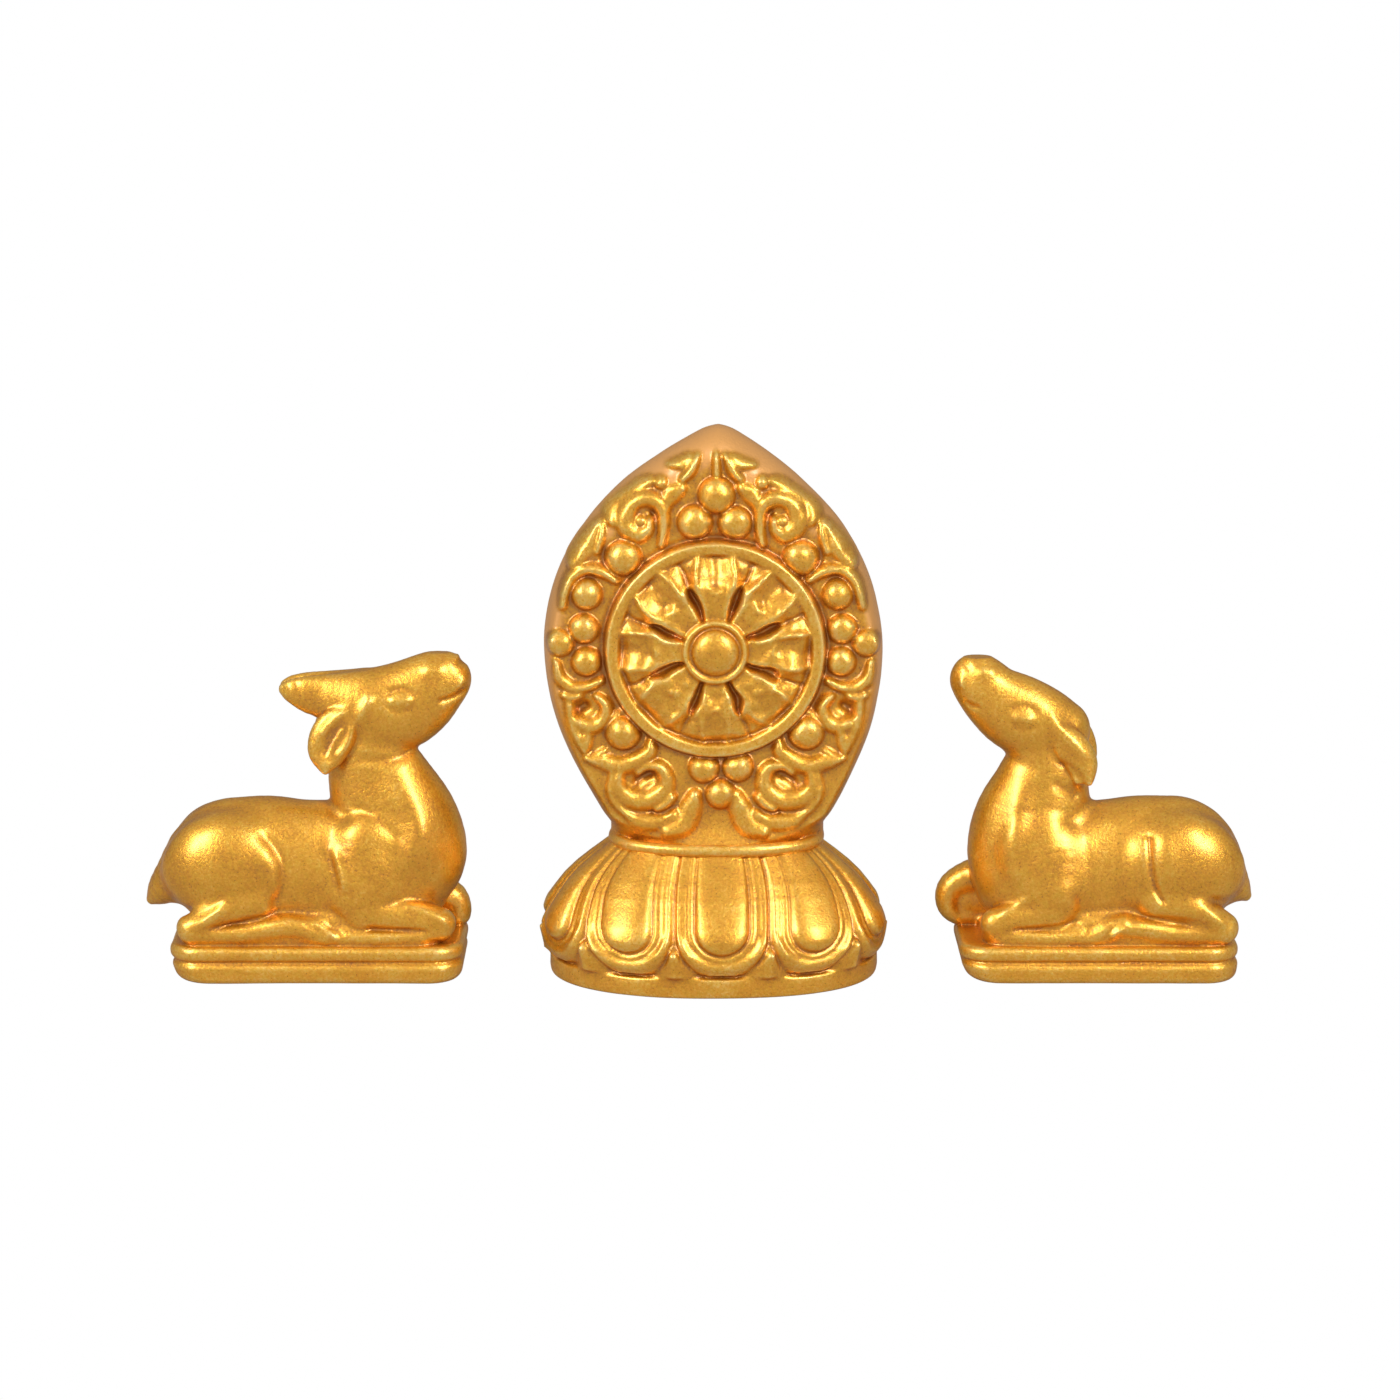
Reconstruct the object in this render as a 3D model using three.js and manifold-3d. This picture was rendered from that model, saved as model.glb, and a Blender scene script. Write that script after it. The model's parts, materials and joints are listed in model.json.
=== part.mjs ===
// Altar set of a dharma wheel between a lying buck and a lying doe: three loose castings on one surface.
// Millimetres, +Z up, +X to the viewer's right, the front faces -Y.
// The origin is the middle of the wheel's underside.
import * as THREE from "three";
import { mergeVertices } from "three/addons/utils/BufferGeometryUtils.js";
import Module from "manifold-3d";

const wasm = await Module();
wasm.setup();

// Lotus base of the wheel
const BASE_HALF_WIDTH = 26.3;
const BASE_HALF_DEPTH = 18;
const FOOT_HEIGHT = 3;
const FOOT_EDGE_RADIUS = 1.4;
const LOTUS_TOP_HEIGHT = 20.8;
const LOTUS_TOP_HALF_WIDTH = 17.8;
const LIP_HEIGHT = 7.6;
const LIP_OVERHANG = 1.3;
const PETAL_COUNT = 10;
const PETAL_RELIEF = 1;
const PETAL_SHIFT = 1.2;
const PETAL_HANG = 0.9;

// Bead round the neck
const BEAD_RADIUS = 1.2;
const BEAD_HALF_WIDTH = 16.3;

// Flame-shaped frame
const FRAME_HEIGHT = 89;
const FRAME_HALF_WIDTH = 26.8;
const FRAME_WIDEST_HEIGHT = 52.5;
const NECK_HALF_WIDTH = 16.4;
const FRAME_HALF_DEPTH = 6.2;
const BORDER_SIDE = 1.9;
const BORDER_TOP = 4.6;

// Wheel on the frame
const WHEEL_RADIUS = 17.35;
const WHEEL_CENTRE_HEIGHT = 53.9;
const WHEEL_RIM_HEIGHT = 2.2;
const WHEEL_RIM_WIDTH = 1.9;
const WHEEL_FLOOR_HEIGHT = 0.9;
const SPOKE_COUNT = 8;
const HUB_RADIUS = 3.4;
const HUB_RING_RADIUS = 5.4;
const HUB_HEIGHT = 3.9;
const WHEEL_SINK = 0.6;

// Deer and their plinths
const BUCK_PLINTH_LENGTH = 46.8;
const DOE_PLINTH_LENGTH = 44.5;
const PLINTH_DEPTH = 21;
const PLINTH_CORNER = 5;
const LOWER_STEP = 3.6;
const UPPER_STEP = 2.5;
const STEP_INSET = 0.4;
const DEER_HEIGHT = 46;
const BUCK_CENTRE = -63.4;
const DOE_CENTRE = 61.4;

// Relief on the face of the frame: how far it stands out, and how deep it is rooted
const RELIEF_RISE = 1.5;
const JEWEL_RISE = 0.8;
const RELIEF_ROOT = 1.2;
const SINK = 0.3;
const FIELD_Y = -FRAME_HALF_DEPTH;

// Sizes that the deer and the ornament are drawn for, and are scaled from
const DRAWN = { deerHeight: 46, deerHalfDepth: 10.5, wheelRadius: 17.35, spokes: 8 };
const ORNAMENT_SCALE = WHEEL_RADIUS / DRAWN.wheelRadius;

const GOLD = { color: 0xd9a441, roughness: 0.38, metalness: 0.85 };
const RAD = Math.PI / 180;

// Rows of points, all of one length, become a closed skin with a fan over each end
function skin(rows) {
  const count = rows[0].length;
  const positions = rows.flat(2);
  const index = [];
  for (let r = 0; r + 1 < rows.length; r++) {
    for (let i = 0; i < count; i++) {
      const a = r * count + i;
      const b = r * count + ((i + 1) % count);
      index.push(a, b, a + count, b, b + count, a + count);
    }
  }
  for (const [row, flip] of [[0, true], [rows.length - 1, false]]) {
    const middle = positions.length / 3;
    for (let k = 0; k < 3; k++) {
      positions.push(rows[row].reduce((sum, p) => sum + p[k], 0) / count);
    }
    for (let i = 0; i < count; i++) {
      const a = row * count + i;
      const b = row * count + ((i + 1) % count);
      index.push(...(flip ? [b, a, middle] : [a, b, middle]));
    }
  }
  const geometry = new THREE.BufferGeometry();
  geometry.setAttribute("position", new THREE.Float32BufferAttribute(positions, 3));
  geometry.setIndex(index);
  return geometry;
}

// A closed geometry as a solid, its faces turned outwards
function solid(geometry) {
  const bare = geometry.clone();
  bare.deleteAttribute("normal");
  bare.deleteAttribute("uv");
  const merged = mergeVertices(bare, 1e-4);
  const p = merged.attributes.position.array;
  const t = new Uint32Array(merged.index.array);
  let volume = 0;
  for (let i = 0; i < t.length; i += 3) {
    const [a, b, c] = [0, 1, 2].map((k) => new THREE.Vector3().fromArray(p, 3 * t[i + k]));
    volume += a.dot(b.cross(c));
  }
  if (volume < 0) {
    for (let i = 0; i < t.length; i += 3) [t[i], t[i + 1]] = [t[i + 1], t[i]];
  }
  return new wasm.Manifold(new wasm.Mesh({ numProp: 3, vertProperties: p, triVerts: t }));
}

function join(solids) {
  return solids.reduce((sum, next) => sum.add(next));
}

// The piece without any part of it below the surface that it stands on
function cutAtFloor(piece) {
  const size = 4 * FRAME_HEIGHT;
  const block = new THREE.BoxGeometry(size, size, size).translate(0, 0, -size / 2);
  return piece.subtract(solid(block));
}

function meshOf(name, piece) {
  const { vertProperties, triVerts } = piece.getMesh();
  const geometry = new THREE.BufferGeometry();
  geometry.setAttribute("position", new THREE.BufferAttribute(vertProperties, 3));
  geometry.setIndex(new THREE.BufferAttribute(triVerts, 1));
  geometry.computeVertexNormals();
  const mesh = new THREE.Mesh(geometry, new THREE.MeshStandardMaterial(GOLD));
  mesh.name = name;
  return mesh;
}

// Stations of a path, any numbers in each, smoothed into more stations
function smooth(stations, steps) {
  const out = [];
  const last = stations.length - 1;
  for (let i = 0; i < last * steps + 1; i++) {
    const k = Math.min(Math.floor(i / steps), last - 1);
    const t = i / steps - k;
    const at = (j) => stations[Math.max(0, Math.min(last, j))];
    out.push(
      at(k).map((p1, c) => {
        const [p0, p2, p3] = [at(k - 1)[c], at(k + 1)[c], at(k + 2)[c]];
        const bend = 2 * p0 - 5 * p1 + 4 * p2 - p3 + (3 * p1 - 3 * p2 + p3 - p0) * t;
        return p1 + 0.5 * t * (p2 - p0 + t * bend);
      }),
    );
  }
  return out;
}

// A tapering body along a path that keeps near a plane facing Y. Each station is [x, y, z, radius in the
// plane, radius across it]. A cap rounds both ends. A half body has only the half that faces the viewer, and
// is flat behind.
function limb(stations, { half = false, sides = 6, steps = 1, cap = 1 } = {}) {
  const path = smooth(stations, steps);
  const out = new THREE.Vector3(0, -1, 0);
  const frames = path.map((s, i) => {
    const before = path[Math.max(0, i - 1)];
    const after = path[Math.min(path.length - 1, i + 1)];
    const along = new THREE.Vector3(after[0] - before[0], after[1] - before[1], after[2] - before[2]);
    along.normalize();
    const side = new THREE.Vector3().crossVectors(along, out).normalize();
    return { at: new THREE.Vector3(s[0], s[1], s[2]), along, side, in: s[3], cross: s[4] };
  });
  const ring = (f, size, forward) =>
    Array.from({ length: sides }, (_, i) => {
      const a = half ? (Math.PI * i) / (sides - 1) : (2 * Math.PI * i) / sides;
      return f.at
        .clone()
        .addScaledVector(f.along, forward)
        .addScaledVector(f.side, Math.cos(a) * f.in * size)
        .addScaledVector(out, Math.sin(a) * f.cross * size)
        .toArray();
    });
  const rows = frames.map((f) => ring(f, 1, 0));
  for (let k = 1; k <= cap; k++) {
    const a = (k / (cap + 0.35)) * (Math.PI / 2);
    const [first, end] = [frames[0], frames[frames.length - 1]];
    rows.unshift(ring(first, Math.cos(a), -Math.sin(a) * Math.min(first.in, first.cross)));
    rows.push(ring(end, Math.cos(a), Math.sin(a) * Math.min(end.in, end.cross)));
  }
  return solid(skin(rows));
}

// Half a ball that faces the viewer, on a shank that reaches back into the frame
function jewel(x, z, drawnRadius) {
  const radius = drawnRadius * ORNAMENT_SCALE;
  const points = [
    [0, -FRAME_HALF_DEPTH / 2], [radius, -FRAME_HALF_DEPTH / 2], [radius, 0],
    [0.75 * radius, 0.72 * JEWEL_RISE * radius], [0, JEWEL_RISE * radius],
  ];
  const profile = points.map(([r, h]) => new THREE.Vector2(r, h));
  return solid(new THREE.LatheGeometry(profile, 7).rotateX(Math.PI).translate(x, FIELD_Y, z));
}

// Rounded rectangle with 4 equal corners, as a ring of points at one height
function roundedRing(halfLength, halfDepth, corner, z, perCorner = 4) {
  const ring = [];
  for (let c = 0; c < 4; c++) {
    const [sx, sy] = [[1, 1], [-1, 1], [-1, -1], [1, -1]][c];
    for (let i = 0; i < perCorner; i++) {
      const a = (c + i / (perCorner - 1)) * (Math.PI / 2);
      ring.push([
        sx * (halfLength - corner) + corner * Math.cos(a),
        sy * (halfDepth - corner) + corner * Math.sin(a),
        z,
      ]);
    }
  }
  return ring;
}

// Oval plan of the base, as points spaced evenly along its edge, with the front middle at share 0
const OVAL_POWER = 2.3;
const OVAL_STEPS = 720;

function ovalAt(angle, halfWidth, halfDepth) {
  const rounded = (v) => Math.sign(v) * Math.abs(v) ** (2 / OVAL_POWER);
  return [halfWidth * rounded(Math.sin(angle)), -halfDepth * rounded(Math.cos(angle))];
}

const OVAL_LENGTHS = [0];
for (let i = 1; i <= OVAL_STEPS; i++) {
  const angles = [i - 1, i].map((k) => (2 * Math.PI * k) / OVAL_STEPS);
  const [p, q] = angles.map((angle) => ovalAt(angle, BASE_HALF_WIDTH, BASE_HALF_DEPTH));
  OVAL_LENGTHS.push(OVAL_LENGTHS[i - 1] + Math.hypot(q[0] - p[0], q[1] - p[1]));
}

function ovalAngle(share) {
  const length = (share - Math.floor(share)) * OVAL_LENGTHS[OVAL_STEPS];
  const i = Math.max(1, OVAL_LENGTHS.findIndex((l) => l >= length));
  const part = (length - OVAL_LENGTHS[i - 1]) / (OVAL_LENGTHS[i] - OVAL_LENGTHS[i - 1]);
  return (2 * Math.PI * (i - 1 + part)) / OVAL_STEPS;
}

const DEPTH_RATIO = BASE_HALF_DEPTH / BASE_HALF_WIDTH;

// Lotus base: the domed ring of hanging petals above the plain foot
const PETAL_COLUMNS = [-1, -0.8, -0.6, -0.36, 0.36, 0.6, 0.8];
const PETAL_LINES = [-0.6, 0.4, -0.3, 0.9, 0.9, -0.3, 0.4];
const LIP_HALF_WIDTH = BASE_HALF_WIDTH + LIP_OVERHANG;

function domeHalfWidth(z) {
  const t = (z - LIP_HEIGHT) / (LOTUS_TOP_HEIGHT - LIP_HEIGHT);
  return LOTUS_TOP_HALF_WIDTH + (LIP_HALF_WIDTH - LOTUS_TOP_HALF_WIDTH) * (1 - t * t);
}

// Rows of the dome from the top down: share of its height, and how far the petals stand out there
const DOME_ROWS = [[0, 0.15], [0.24, 0.9], [0.54, 1], [0.86, 0.8]];

function lotusRows() {
  const drop = LOTUS_TOP_HEIGHT - LIP_HEIGHT;
  const rows = DOME_ROWS.map(([share, relief]) => {
    const z = LOTUS_TOP_HEIGHT - share * drop;
    return { z, width: domeHalfWidth(z), relief, hang: 0 };
  });
  const lipDrop = LIP_HEIGHT - FOOT_HEIGHT;
  rows.push(
    { z: LIP_HEIGHT, width: LIP_HALF_WIDTH - 0.3, relief: -0.35, hang: 0 },
    { z: LIP_HEIGHT - 0.3 * lipDrop, width: LIP_HALF_WIDTH, relief: 0.5, hang: 0.3 },
    { z: LIP_HEIGHT - 0.55 * lipDrop, width: LIP_HALF_WIDTH - 0.35, relief: 0.55, hang: 1 },
    { z: FOOT_HEIGHT + 0.25 * lipDrop, width: BASE_HALF_WIDTH - 0.3, relief: 0.1, hang: 1 },
  );
  return rows;
}

function lotus() {
  const columns = [];
  const perimeter = OVAL_LENGTHS[OVAL_STEPS];
  for (let k = 0; k < PETAL_COUNT; k++) {
    PETAL_COLUMNS.forEach((across, i) => {
      const share = (k + across / 2) / PETAL_COUNT + PETAL_SHIFT / perimeter;
      columns.push({ angle: ovalAngle(share), across, line: PETAL_LINES[i] });
    });
  }
  const rows = lotusRows().map(({ z, width, relief, hang }) =>
    columns.map(({ angle, across, line }) => {
      const out = relief >= 0 ? relief * line : relief * (1 - Math.abs(line));
      const lip = hang > 0 ? (1 - across ** 4) * 0.5 - line * relief * 0.6 : 0;
      const reach = width + PETAL_RELIEF * (out + lip);
      const [x, y] = ovalAt(angle, reach, reach * DEPTH_RATIO);
      return [x, y, z - (hang > 0 ? PETAL_HANG * hang * (1 - across ** 2) : 0)];
    }),
  );
  return solid(skin(rows));
}

// Plain foot under the petals, rounded below, and the bead round the neck
const FOOT_SEGMENTS = 28;

function ovalRing(halfWidth, halfDepth, z) {
  return Array.from({ length: FOOT_SEGMENTS }, (_, i) => {
    const [x, y] = ovalAt(ovalAngle(i / FOOT_SEGMENTS), halfWidth, halfDepth);
    return [x, y, z];
  });
}

function foot() {
  const rows = [0, 45, 90].map((degrees) => {
    const inset = FOOT_EDGE_RADIUS * (1 - Math.sin(degrees * RAD));
    const z = FOOT_EDGE_RADIUS * (1 - Math.cos(degrees * RAD));
    return ovalRing(BASE_HALF_WIDTH - inset, BASE_HALF_DEPTH - inset, z);
  });
  const top = FOOT_HEIGHT + 0.4 * (LIP_HEIGHT - FOOT_HEIGHT);
  rows.push(ovalRing(BASE_HALF_WIDTH - 0.2, BASE_HALF_DEPTH - 0.2, FOOT_HEIGHT));
  rows.push(ovalRing(BASE_HALF_WIDTH - 1, BASE_HALF_DEPTH - 1, top));
  return solid(skin(rows));
}

function bead() {
  const middle = LOTUS_TOP_HEIGHT + 0.9 * BEAD_RADIUS;
  const rows = [-90, -30, 30, 90].map((degrees) => {
    const width = BEAD_HALF_WIDTH + BEAD_RADIUS * Math.cos(degrees * RAD);
    return ovalRing(width, width * DEPTH_RATIO, middle + BEAD_RADIUS * Math.sin(degrees * RAD));
  });
  return solid(skin(rows));
}

// Concave throat between the bead and the frame
function throat() {
  const bottom = LOTUS_TOP_HEIGHT + BEAD_RADIUS;
  const rows = [0, 0.4, 1].map((t) => {
    const spread = (1 - t) ** 2;
    const width = NECK_HALF_WIDTH - 0.6 + 0.3 * spread;
    const reach = BEAD_HALF_WIDTH * DEPTH_RATIO - FRAME_HALF_DEPTH;
    const depth = FRAME_HALF_DEPTH - 0.4 + reach * spread;
    return ovalRing(width, depth, bottom + 4.2 * t);
  });
  return solid(skin(rows));
}

// Flame outline: two curves on the right side, from the neck to the widest place and on to the tip, which are
// mirrored
const SIDE_STEPS = 9;

function sideCurve(neck, widest, widestHeight, tip, bottom) {
  const v = (x, z) => new THREE.Vector2(x, z);
  const rise = widestHeight - bottom;
  const climb = tip - widestHeight;
  const lower = new THREE.CubicBezierCurve(
    v(neck, bottom),
    v(neck + 0.6 * (widest - neck), bottom + 0.34 * rise),
    v(widest, widestHeight - 0.36 * rise),
    v(widest, widestHeight),
  );
  const upper = new THREE.CubicBezierCurve(
    v(widest, widestHeight),
    v(widest, widestHeight + 0.44 * climb),
    v(0.63 * widest, widestHeight + 0.78 * climb),
    v(0, tip),
  );
  return [...lower.getPoints(SIDE_STEPS - 2), ...upper.getPoints(SIDE_STEPS).slice(1)];
}

const NECK_HEIGHT = LOTUS_TOP_HEIGHT + 2 * BEAD_RADIUS + 0.3;
const OUTER_SIDE = sideCurve(
  NECK_HALF_WIDTH,
  FRAME_HALF_WIDTH,
  FRAME_WIDEST_HEIGHT,
  FRAME_HEIGHT,
  NECK_HEIGHT,
);
const FRONT_SIDE = sideCurve(
  NECK_HALF_WIDTH - 0.7 * BORDER_SIDE,
  FRAME_HALF_WIDTH - BORDER_SIDE,
  FRAME_WIDEST_HEIGHT,
  FRAME_HEIGHT - BORDER_TOP,
  NECK_HEIGHT,
);

// One closed outline of the frame, share 0 on the outer edge and 1 on the edge of the field
function frameRing(share, y) {
  const side = OUTER_SIDE.map((p, i) => p.clone().lerp(FRONT_SIDE[i], share));
  const root = new THREE.Vector2(side[0].x, LOTUS_TOP_HEIGHT - 2);
  const right = [root, ...side];
  const left = right.slice(0, -1).reverse();
  return [...right.map((p) => [p.x, y, p.y]), ...left.map((p) => [-p.x, y, p.y])];
}

// Places through the frame's thickness, from the front field to the back: y as share of the half depth, then
// share of the inset
const FRAME_SECTION = [[-1, 1], [-0.86, 0.68], [-0.3, 0.08], [0.2, 0], [0.8, 0.14], [1, 0.6]];

function frame() {
  return solid(skin(FRAME_SECTION.map(([y, inset]) => frameRing(inset, y * FRAME_HALF_DEPTH))));
}

// A place on the band between wheel and frame edge, by clock angle from the top and share of the band's width
function edgeDistance(angle) {
  const polar = OUTER_SIDE.map((p) => {
    const up = p.y - WHEEL_CENTRE_HEIGHT;
    return { angle: Math.atan2(p.x, up) / RAD, distance: Math.hypot(p.x, up) };
  });
  polar.push({ angle: 180, distance: WHEEL_CENTRE_HEIGHT - NECK_HEIGHT });
  polar.sort((a, b) => a.angle - b.angle);
  const k = Math.max(1, polar.findIndex((p) => p.angle >= angle));
  const [low, high] = [polar[k - 1], polar[k]];
  const part = (angle - low.angle) / Math.max(high.angle - low.angle, 1e-6);
  return low.distance + (high.distance - low.distance) * part;
}

function bandPlace(angle, share) {
  const distance = WHEEL_RADIUS + share * (edgeDistance(angle) - WHEEL_RADIUS);
  return [distance * Math.sin(angle * RAD), WHEEL_CENTRE_HEIGHT + distance * Math.cos(angle * RAD)];
}

// How far forward the frame's face lies at a place on the band: the field is flat, and the border slopes back
function faceY(angle, share) {
  const width = edgeDistance(angle) - WHEEL_RADIUS;
  const border = BORDER_SIDE + (BORDER_TOP - BORDER_SIDE) * Math.max(0, Math.cos(angle * RAD)) ** 2;
  const inset = Math.min(1, ((1 - share) * width) / border);
  const k = Math.max(1, FRAME_SECTION.findIndex(([, row]) => row <= inset));
  const [[frontY, frontInset], [backY, backInset]] = [FRAME_SECTION[k - 1], FRAME_SECTION[k]];
  const part = (frontInset - inset) / (frontInset - backInset);
  return (frontY + (backY - frontY) * part) * FRAME_HALF_DEPTH;
}

// Jewels on the right half of the band: clock angle, share of the band, radius
const JEWELS = [
  [8.8, 0.21, 2.5], [42.2, 0.24, 2.8], [65.9, 0.44, 2.3], [81, 0.37, 2.4], [87.1, 0.72, 2.2],
  [96.4, 0.33, 2.2], [133.5, 0.2, 2.7], [169.8, 0.2, 2.5], [14.5, 0.66, 1.2], [158, 0.85, 1.2],
];
const MIDDLE_JEWELS = [[0, 0.4, 2.7], [180, 0.55, 2.4]];

// Leaves: start, bend and end as clock angle and share of the band, then the half width
const LEAVES = [
  [[0.5, 0.8], [2, 0.7], [9, 0.64], 0.9],
  [[3, 0.8], [8, 0.82], [17, 0.72], 0.8],
  [[22, 0.8], [31, 0.93], [38, 0.74], 1],
  [[40, 0.84], [48, 0.86], [57, 0.78], 1.3],
  [[54, 0.11], [54, 0.95], [77, 0.74], 0.9],
  [[95, 0.84], [110, 0.87], [108, 0.17], 0.8],
  [[108, 0.7], [116, 0.79], [127, 0.72], 0.9],
  [[146, 0.05], [146, 0.42], [129, 0.82], 1],
  [[141, 0.7], [147, 0.88], [154, 0.84], 0.9],
  [[174, 0.66], [172, 0.9], [160, 0.8], 1.5],
];

// Curls: centre as clock angle and share of the band, outer radius, inner radius, where the turn starts in
// degrees, how far it turns, half width
const CURL_STEP = 54;
const CURLS = [
  [27.2, 0.44, 3.5, 0.7, 270, 480, 1.15],
  [119, 0.45, 2.1, 1.6, 0, 290, 1],
  [153, 0.42, 4.4, 1.4, 10, 400, 1.1],
];

function leaf([start, bend, end, halfWidth], side) {
  const stations = [0, 0.3, 0.7, 1].map((t) => {
    const along = (c) => start[c] * (1 - t) ** 2 + 2 * bend[c] * t * (1 - t) + end[c] * t * t;
    const [x, z] = bandPlace(along(0), along(1));
    const swell = Math.sin(Math.PI * t);
    const width = ORNAMENT_SCALE * halfWidth * (0.5 + 0.75 * swell);
    const y = faceY(along(0), along(1)) + RELIEF_ROOT;
    return [side * x, y, z, width, RELIEF_ROOT + RELIEF_RISE * (0.5 + 0.4 * swell)];
  });
  return limb(stations, { half: true, sides: 3, cap: 0 });
}

function curl([angle, share, outer, inner, start, turn, halfWidth], side) {
  const [cx, cz] = bandPlace(angle, share);
  const count = Math.ceil(turn / CURL_STEP);
  const stations = Array.from({ length: count + 1 }, (_, i) => {
    const t = i / count;
    const a = (start - turn * t) * RAD;
    const radius = ORNAMENT_SCALE * (outer + (inner - outer) * t ** 2.2);
    const width = ORNAMENT_SCALE * halfWidth * (0.55 + 0.7 * Math.sin(Math.PI * t ** 1.2));
    const place = [side * (cx + radius * Math.cos(a)), FIELD_Y + RELIEF_ROOT, cz + radius * Math.sin(a)];
    return [...place, width, RELIEF_ROOT + RELIEF_RISE * (0.7 + 0.4 * t)];
  });
  return limb(stations, { half: true, sides: 3, cap: 0 });
}

function ornament() {
  const pieces = [];
  for (const side of [1, -1]) {
    for (const [angle, share, radius] of JEWELS) {
      const [x, z] = bandPlace(angle, share);
      pieces.push(jewel(side * x, z, radius));
    }
    pieces.push(...LEAVES.map((l) => leaf(l, side)), ...CURLS.map((c) => curl(c, side)));
  }
  for (const [angle, share, radius] of MIDDLE_JEWELS) {
    const [x, z] = bandPlace(angle, share);
    pieces.push(jewel(x, z, radius));
  }
  const [, low] = bandPlace(0, 0.58);
  const [, high] = bandPlace(0, 0.8);
  const y = FIELD_Y + RELIEF_ROOT;
  const bud = [
    [0, y, low, 0.7, RELIEF_ROOT + 0.6 * RELIEF_RISE],
    [0, y, (low + high) / 2, 1.2, RELIEF_ROOT + RELIEF_RISE],
    [0, y, high, 0.5, RELIEF_ROOT + 0.5 * RELIEF_RISE],
  ];
  pieces.push(limb(bud, { half: true, sides: 4 }));
  return join(pieces);
}

// The wheel: a dish with a raised rim, petal spokes and a domed hub
function dish() {
  const inner = WHEEL_RADIUS - WHEEL_RIM_WIDTH;
  const points = [
    [0, -WHEEL_SINK], [WHEEL_RADIUS, -WHEEL_SINK], [WHEEL_RADIUS, WHEEL_RIM_HEIGHT - 0.5],
    [WHEEL_RADIUS - 0.4, WHEEL_RIM_HEIGHT], [inner, WHEEL_RIM_HEIGHT - 0.6],
    [inner - 0.9, WHEEL_FLOOR_HEIGHT],
    [HUB_RING_RADIUS + 0.5, WHEEL_FLOOR_HEIGHT], [HUB_RING_RADIUS, 0.62 * HUB_HEIGHT],
    [HUB_RING_RADIUS - 0.7, 0.66 * HUB_HEIGHT], [HUB_RADIUS, 0.55 * HUB_HEIGHT],
    [0.7 * HUB_RADIUS, 0.88 * HUB_HEIGHT], [0, HUB_HEIGHT],
  ];
  const profile = points.map(([r, h]) => new THREE.Vector2(r, h));
  return solid(new THREE.LatheGeometry(profile, 24).rotateX(Math.PI));
}

// Stations of a spoke as share of its length: half width, rise over the dish's floor
const SPOKE_SECTION = [
  [0, 1.5, 1.5], [0.3, 2, 1.6], [0.66, 3.5, 2.3], [0.86, 3.2, 1.5], [1, 1.9, 0.7],
];

function spokes() {
  const from = HUB_RING_RADIUS - 0.4;
  const length = WHEEL_RADIUS - WHEEL_RIM_WIDTH - 0.5 - from;
  const spread = (DRAWN.spokes / SPOKE_COUNT) * ORNAMENT_SCALE;
  const pieces = [];
  for (let k = 0; k < SPOKE_COUNT; k++) {
    const turn = (2 * Math.PI * k) / SPOKE_COUNT;
    const stations = SPOKE_SECTION.map(([share, half, rise]) => [
      (from + share * length) * Math.sin(turn),
      SINK - WHEEL_FLOOR_HEIGHT,
      (from + share * length) * Math.cos(turn),
      half * spread,
      SINK + rise,
    ]);
    pieces.push(limb(stations, { half: true, sides: 4, cap: 0 }));
    const between = turn + Math.PI / SPOKE_COUNT;
    const point = (r) => [r * Math.sin(between), SINK - WHEEL_FLOOR_HEIGHT, r * Math.cos(between)];
    const tip = [...point(from + 0.42 * length), 0.4, 0.6];
    const web = [tip, [...point(from + 0.94 * length), 2.7 * spread, 1.2]];
    pieces.push(limb(web, { half: true, sides: 3, cap: 0 }));
  }
  return join(pieces);
}

function dharmaWheel() {
  const wheel = join([dish(), spokes()]).translate([0, FIELD_Y, WHEEL_CENTRE_HEIGHT]);
  const pieces = [frame(), wheel, ornament(), throat(), bead(), lotus(), foot()];
  return meshOf("dharma_wheel", cutAtFloor(join(pieces)));
}

// Plinth in two steps, each with rounded edges
function step(length, bottom, top, inset) {
  const edge = 0.3 * (top - bottom);
  const rows = [
    [bottom, 0.7 * edge], [bottom + edge, 0], [top - edge, 0], [top, 0.7 * edge],
  ].map(([z, shrink]) => {
    const halfLength = length / 2 - inset - shrink;
    return roundedRing(halfLength, PLINTH_DEPTH / 2 - inset - shrink, PLINTH_CORNER - inset - shrink, z);
  });
  return solid(skin(rows));
}

function plinth(length) {
  const top = LOWER_STEP + UPPER_STEP;
  return [step(length, 0, LOWER_STEP, 0), step(length, LOWER_STEP - 0.3, top, STEP_INSET)];
}

// A deer lies on the plinth with its head along +X
const PLINTH_TOP = LOWER_STEP + UPPER_STEP;
const DEER_SCALE = DEER_HEIGHT / DRAWN.deerHeight;
const SIDE_SCALE = PLINTH_DEPTH / 2 / DRAWN.deerHalfDepth;

function body(stations, options) {
  return limb(
    stations.map(([x, y, z, inPlane, across]) => [
      x * DEER_SCALE,
      y * SIDE_SCALE,
      PLINTH_TOP + z * DEER_SCALE,
      inPlane * DEER_SCALE,
      across * SIDE_SCALE,
    ]),
    options,
  );
}

// The trunk runs from the rump to the chest, the same on both deer
const TRUNK = [
  [-16.6, 0, 10.9, 10.4, 7.3], [-11, 0, 10.8, 11.7, 8], [-3, 0, 10.3, 11.6, 7.8], [5, 0, 9.8, 11.4, 8.1],
  [10.4, 0, 9.2, 9.4, 8.2],
];

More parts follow.
